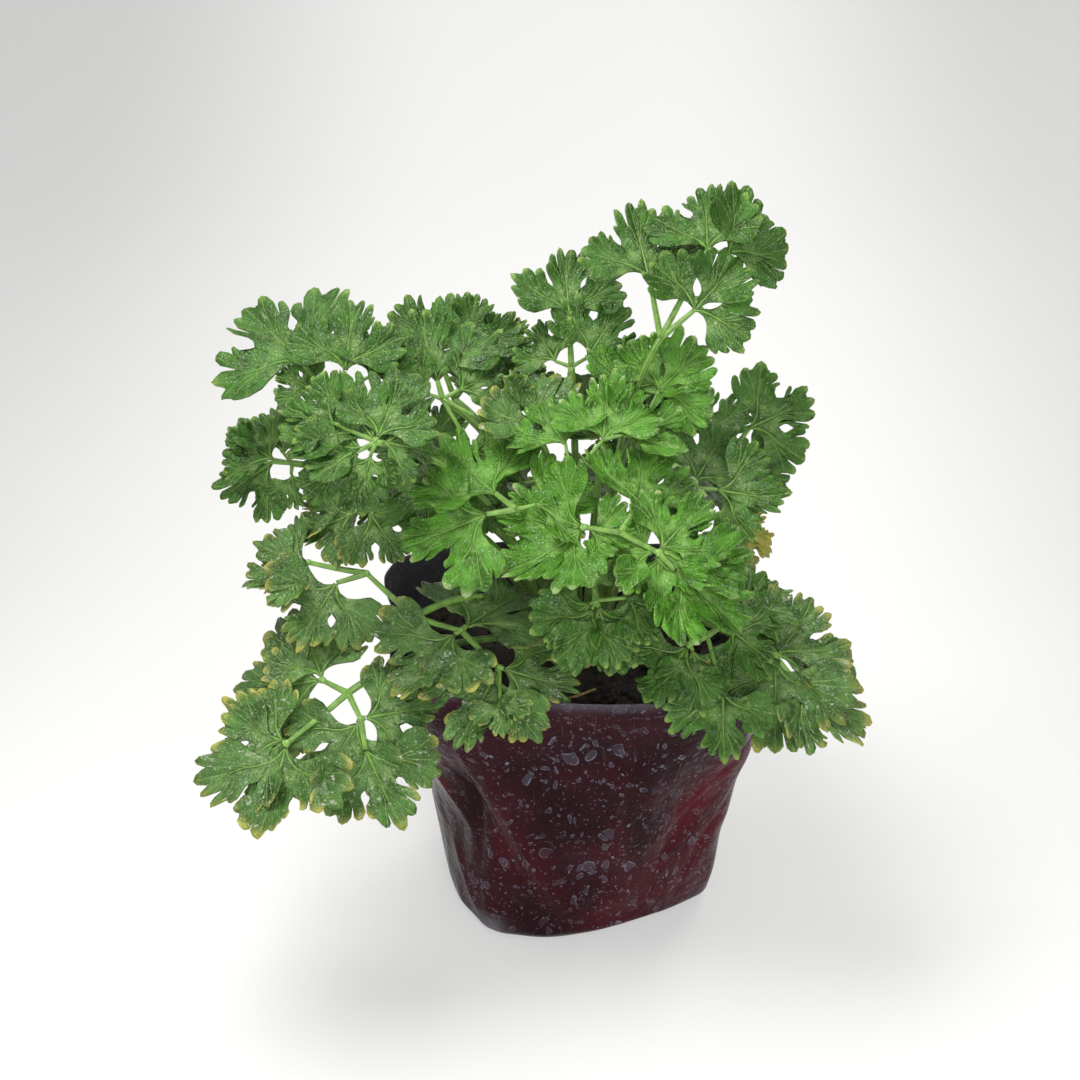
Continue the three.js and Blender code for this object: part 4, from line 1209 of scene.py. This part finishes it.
class AddOddments(bpy.types.Operator):
    """Add the weed seedling and the bit of straw on the soil"""

    bl_idname = "parsley.add_oddments"
    bl_label = "Add seedling and straw"

    def execute(self, context):
        low, high = corner_mm("seedling", 0), corner_mm("seedling", 1)
        middle = (low + high) / 2
        foot, top = Vector((middle.x, high.y - 1, low.z - 1)), Vector((middle.x, middle.y, high.z - 3))
        bend = (foot + top) / 2 + Vector((1, 0, 1))
        path = [foot.lerp(bend, t).lerp(bend.lerp(top, t), t) for t in (i / 8 for i in range(9))]
        bm = ribbed_tube(path, lambda t: 0.7 - 0.2 * t, Vector((0, -1, 0.2)), 10, 0.0)
        for side in (-1, 1):
            leaf = bmesh.new()
            bmesh.ops.create_uvsphere(leaf, u_segments=28, v_segments=14, radius=4.2)
            bmesh.ops.scale(leaf, vec=(1.0, 0.86, 0.09), verts=leaf.verts)
            for vert in leaf.verts:
                vert.co.z += 0.035 * (vert.co.x**2 + vert.co.y**2) - 0.2 * math.exp(-(vert.co.y**2))
            tilt = Matrix.Rotation(math.radians(32), 4, "X")
            turn = tilt @ Matrix.Rotation(math.radians(12 * side), 4, "Y")
            set_out = Matrix.Translation(top + Vector((4 * side, 0, 0))) @ turn
            bmesh.ops.transform(leaf, matrix=set_out, verts=leaf.verts)
            absorb(bm, leaf)
        green = plain_fibre_material("soft seedling leaf", "#7fae3e", "#a9cc63", 11.1, 0.5)
        hand_over(finished("weed_seedling", bm, [green]), "seedling")

        low, high = corner_mm("straw", 0), corner_mm("straw", 1)
        ends = Vector((low.x, low.y + 0.7, low.z + 0.7)), Vector((high.x, high.y - 0.7, high.z - 0.7))
        bends = [Vector((0, 0.3 * math.sin(i), 0.25 * math.sin(i * 0.7))) for i in range(11)]
        path = [ends[0].lerp(ends[1], i / 10) + bend for i, bend in enumerate(bends)]
        bm = ribbed_tube(path, lambda t: 0.75 - 0.25 * t, Vector((0, 0, 1)), 10, 0.35)
        dry = plain_fibre_material("dry straw", "#6d5334", "#b3946a", 6.25, 0.8)
        hand_over(finished("bit_of_straw", bm, [dry]), "straw")
        return {"FINISHED"}


# The camera's height in degrees, its distance in metres, its lens in millimetres and what it looks at.
ELEVATION = 30.0
DISTANCE = 0.9
LENS = 71.4
SENSOR = 36.0
TARGET = Vector((-0.02, 0.0, 0.173))
# The sweep, in metres: a floor, a quarter turn and a wall, on this half width.
SWEEP = {"half width": 9.0, "front": -9.0, "bend": 0.8, "radius": 0.9, "wall": 3.0}
SWEEP_COLUMNS = 20
SWEEP_ROWS = 60
FLOOR_SHARE = 0.4
BEND_SHARE = 0.3
WORLD_COLOUR = (0.98, 0.99, 1.0, 1.0)
WORLD_STRENGTH = 0.46
# Soft lights: name, place, aim, width in metres, power in watts and colour.
LIGHTS = [
    ("overhead", (-0.35, 0.0, 1.1), (0, 0, 0.2), 0.55, 13.2, (1.0, 0.98, 0.93)),
    ("front", (0.15, -1.3, 0.7), (0, 0, 0.1), 0.6, 13.0, (1.0, 0.99, 0.96)),
    ("back_right", (0.6, 0.9, 0.9), (0, 0, 0.2), 0.5, 6.0, (1.0, 0.98, 0.92)),
    ("backdrop", (0.0, 1.1, 1.3), (0, 1.4, 0.2), 0.5, 1.6, (1.0, 1.0, 1.0)),
]


def sweep_place(column, row):
    """A point of the sweep, in millimetres."""
    x = SWEEP["half width"] * (2 * column / SWEEP_COLUMNS - 1)
    share = row / SWEEP_ROWS
    if share < FLOOR_SHARE:
        y, z = SWEEP["front"] + (SWEEP["bend"] - SWEEP["front"]) * share / FLOOR_SHARE, 0.0
    elif share < FLOOR_SHARE + BEND_SHARE:
        turn = (share - FLOOR_SHARE) / BEND_SHARE * math.pi / 2
        y = SWEEP["bend"] + SWEEP["radius"] * math.sin(turn)
        z = SWEEP["radius"] * (1 - math.cos(turn))
    else:
        rest = 1 - FLOOR_SHARE - BEND_SHARE
        y = SWEEP["bend"] + SWEEP["radius"]
        z = SWEEP["radius"] + SWEEP["wall"] * (share - FLOOR_SHARE - BEND_SHARE) / rest
    return Vector((x, y, z)) / MM, *NO_VALUES


class SetStage(bpy.types.Operator):
    """Set the plain floor, the soft lights and the camera"""

    bl_idname = "parsley.set_stage"
    bl_label = "Set the stage"

    def execute(self, context):
        scene = context.scene
        sweep = mapped_grid(SWEEP_COLUMNS + 1, SWEEP_ROWS + 1, sweep_place)
        finished("studio_sweep", sweep, [stage_material(scene.parsley_colours)])
        world = bpy.data.worlds.new("soft studio")
        scene.world = world
        world.use_nodes = True
        sky = world.node_tree.nodes["Background"]
        sky.inputs["Color"].default_value = WORLD_COLOUR
        sky.inputs["Strength"].default_value = WORLD_STRENGTH
        for name, where, aim, size, power, colour in LIGHTS:
            light = bpy.data.lights.new(name, "AREA")
            light.size = size
            light.energy = power
            light.color = colour
            lamp = bpy.data.objects.new(name, light)
            lamp.location = where
            lamp.rotation_euler = (Vector(aim) - lamp.location).to_track_quat("-Z", "Y").to_euler()
            scene.collection.objects.link(lamp)
        back = Vector((0, -math.cos(math.radians(ELEVATION)), math.sin(math.radians(ELEVATION))))
        camera = bpy.data.objects.new("camera", bpy.data.cameras.new("camera"))
        camera.data.lens = LENS
        camera.data.sensor_width = SENSOR
        camera.location = TARGET + back * DISTANCE
        camera.rotation_euler = (-back).to_track_quat("-Z", "Y").to_euler()
        scene.collection.objects.link(camera)
        scene.camera = camera
        scene.view_settings.view_transform = "Standard"
        return {"FINISHED"}


OPERATORS = (SetStage, BlowBag, FillSoil, GrowRoot, AddOddments, GrowStalks, GrowLeaves)


class ParsleyPanel(bpy.types.Panel):
    """Lists the parsley's pieces in the sidebar."""

    bl_idname = "VIEW3D_PT_parsley"
    bl_label = "Potted parsley"
    bl_space_type = "VIEW_3D"
    bl_region_type = "UI"
    bl_category = "Parsley"

    def draw(self, context):
        for group in (context.scene.parsley_sizes, context.scene.parsley_colours):
            for name in group.__annotations__:
                self.layout.prop(group, name)
        for operator in OPERATORS:
            self.layout.operator(operator.bl_idname)


CLASSES = (ParsleySizes, ParsleyColours, *OPERATORS, ParsleyPanel)


def register():
    """Adds the classes and the scene's settings."""
    for kind in CLASSES:
        bpy.utils.register_class(kind)
    bpy.types.Scene.parsley_sizes = PointerProperty(type=ParsleySizes)
    bpy.types.Scene.parsley_colours = PointerProperty(type=ParsleyColours)


def unregister():
    """Takes them away again."""
    del bpy.types.Scene.parsley_colours
    del bpy.types.Scene.parsley_sizes
    for kind in reversed(CLASSES):
        bpy.utils.unregister_class(kind)


def main():
    """Makes every piece in order."""
    register()
    for operator in OPERATORS:
        group, name = operator.bl_idname.split(".")
        getattr(getattr(bpy.ops, group), name)()


if __name__ == "__main__":
    main()
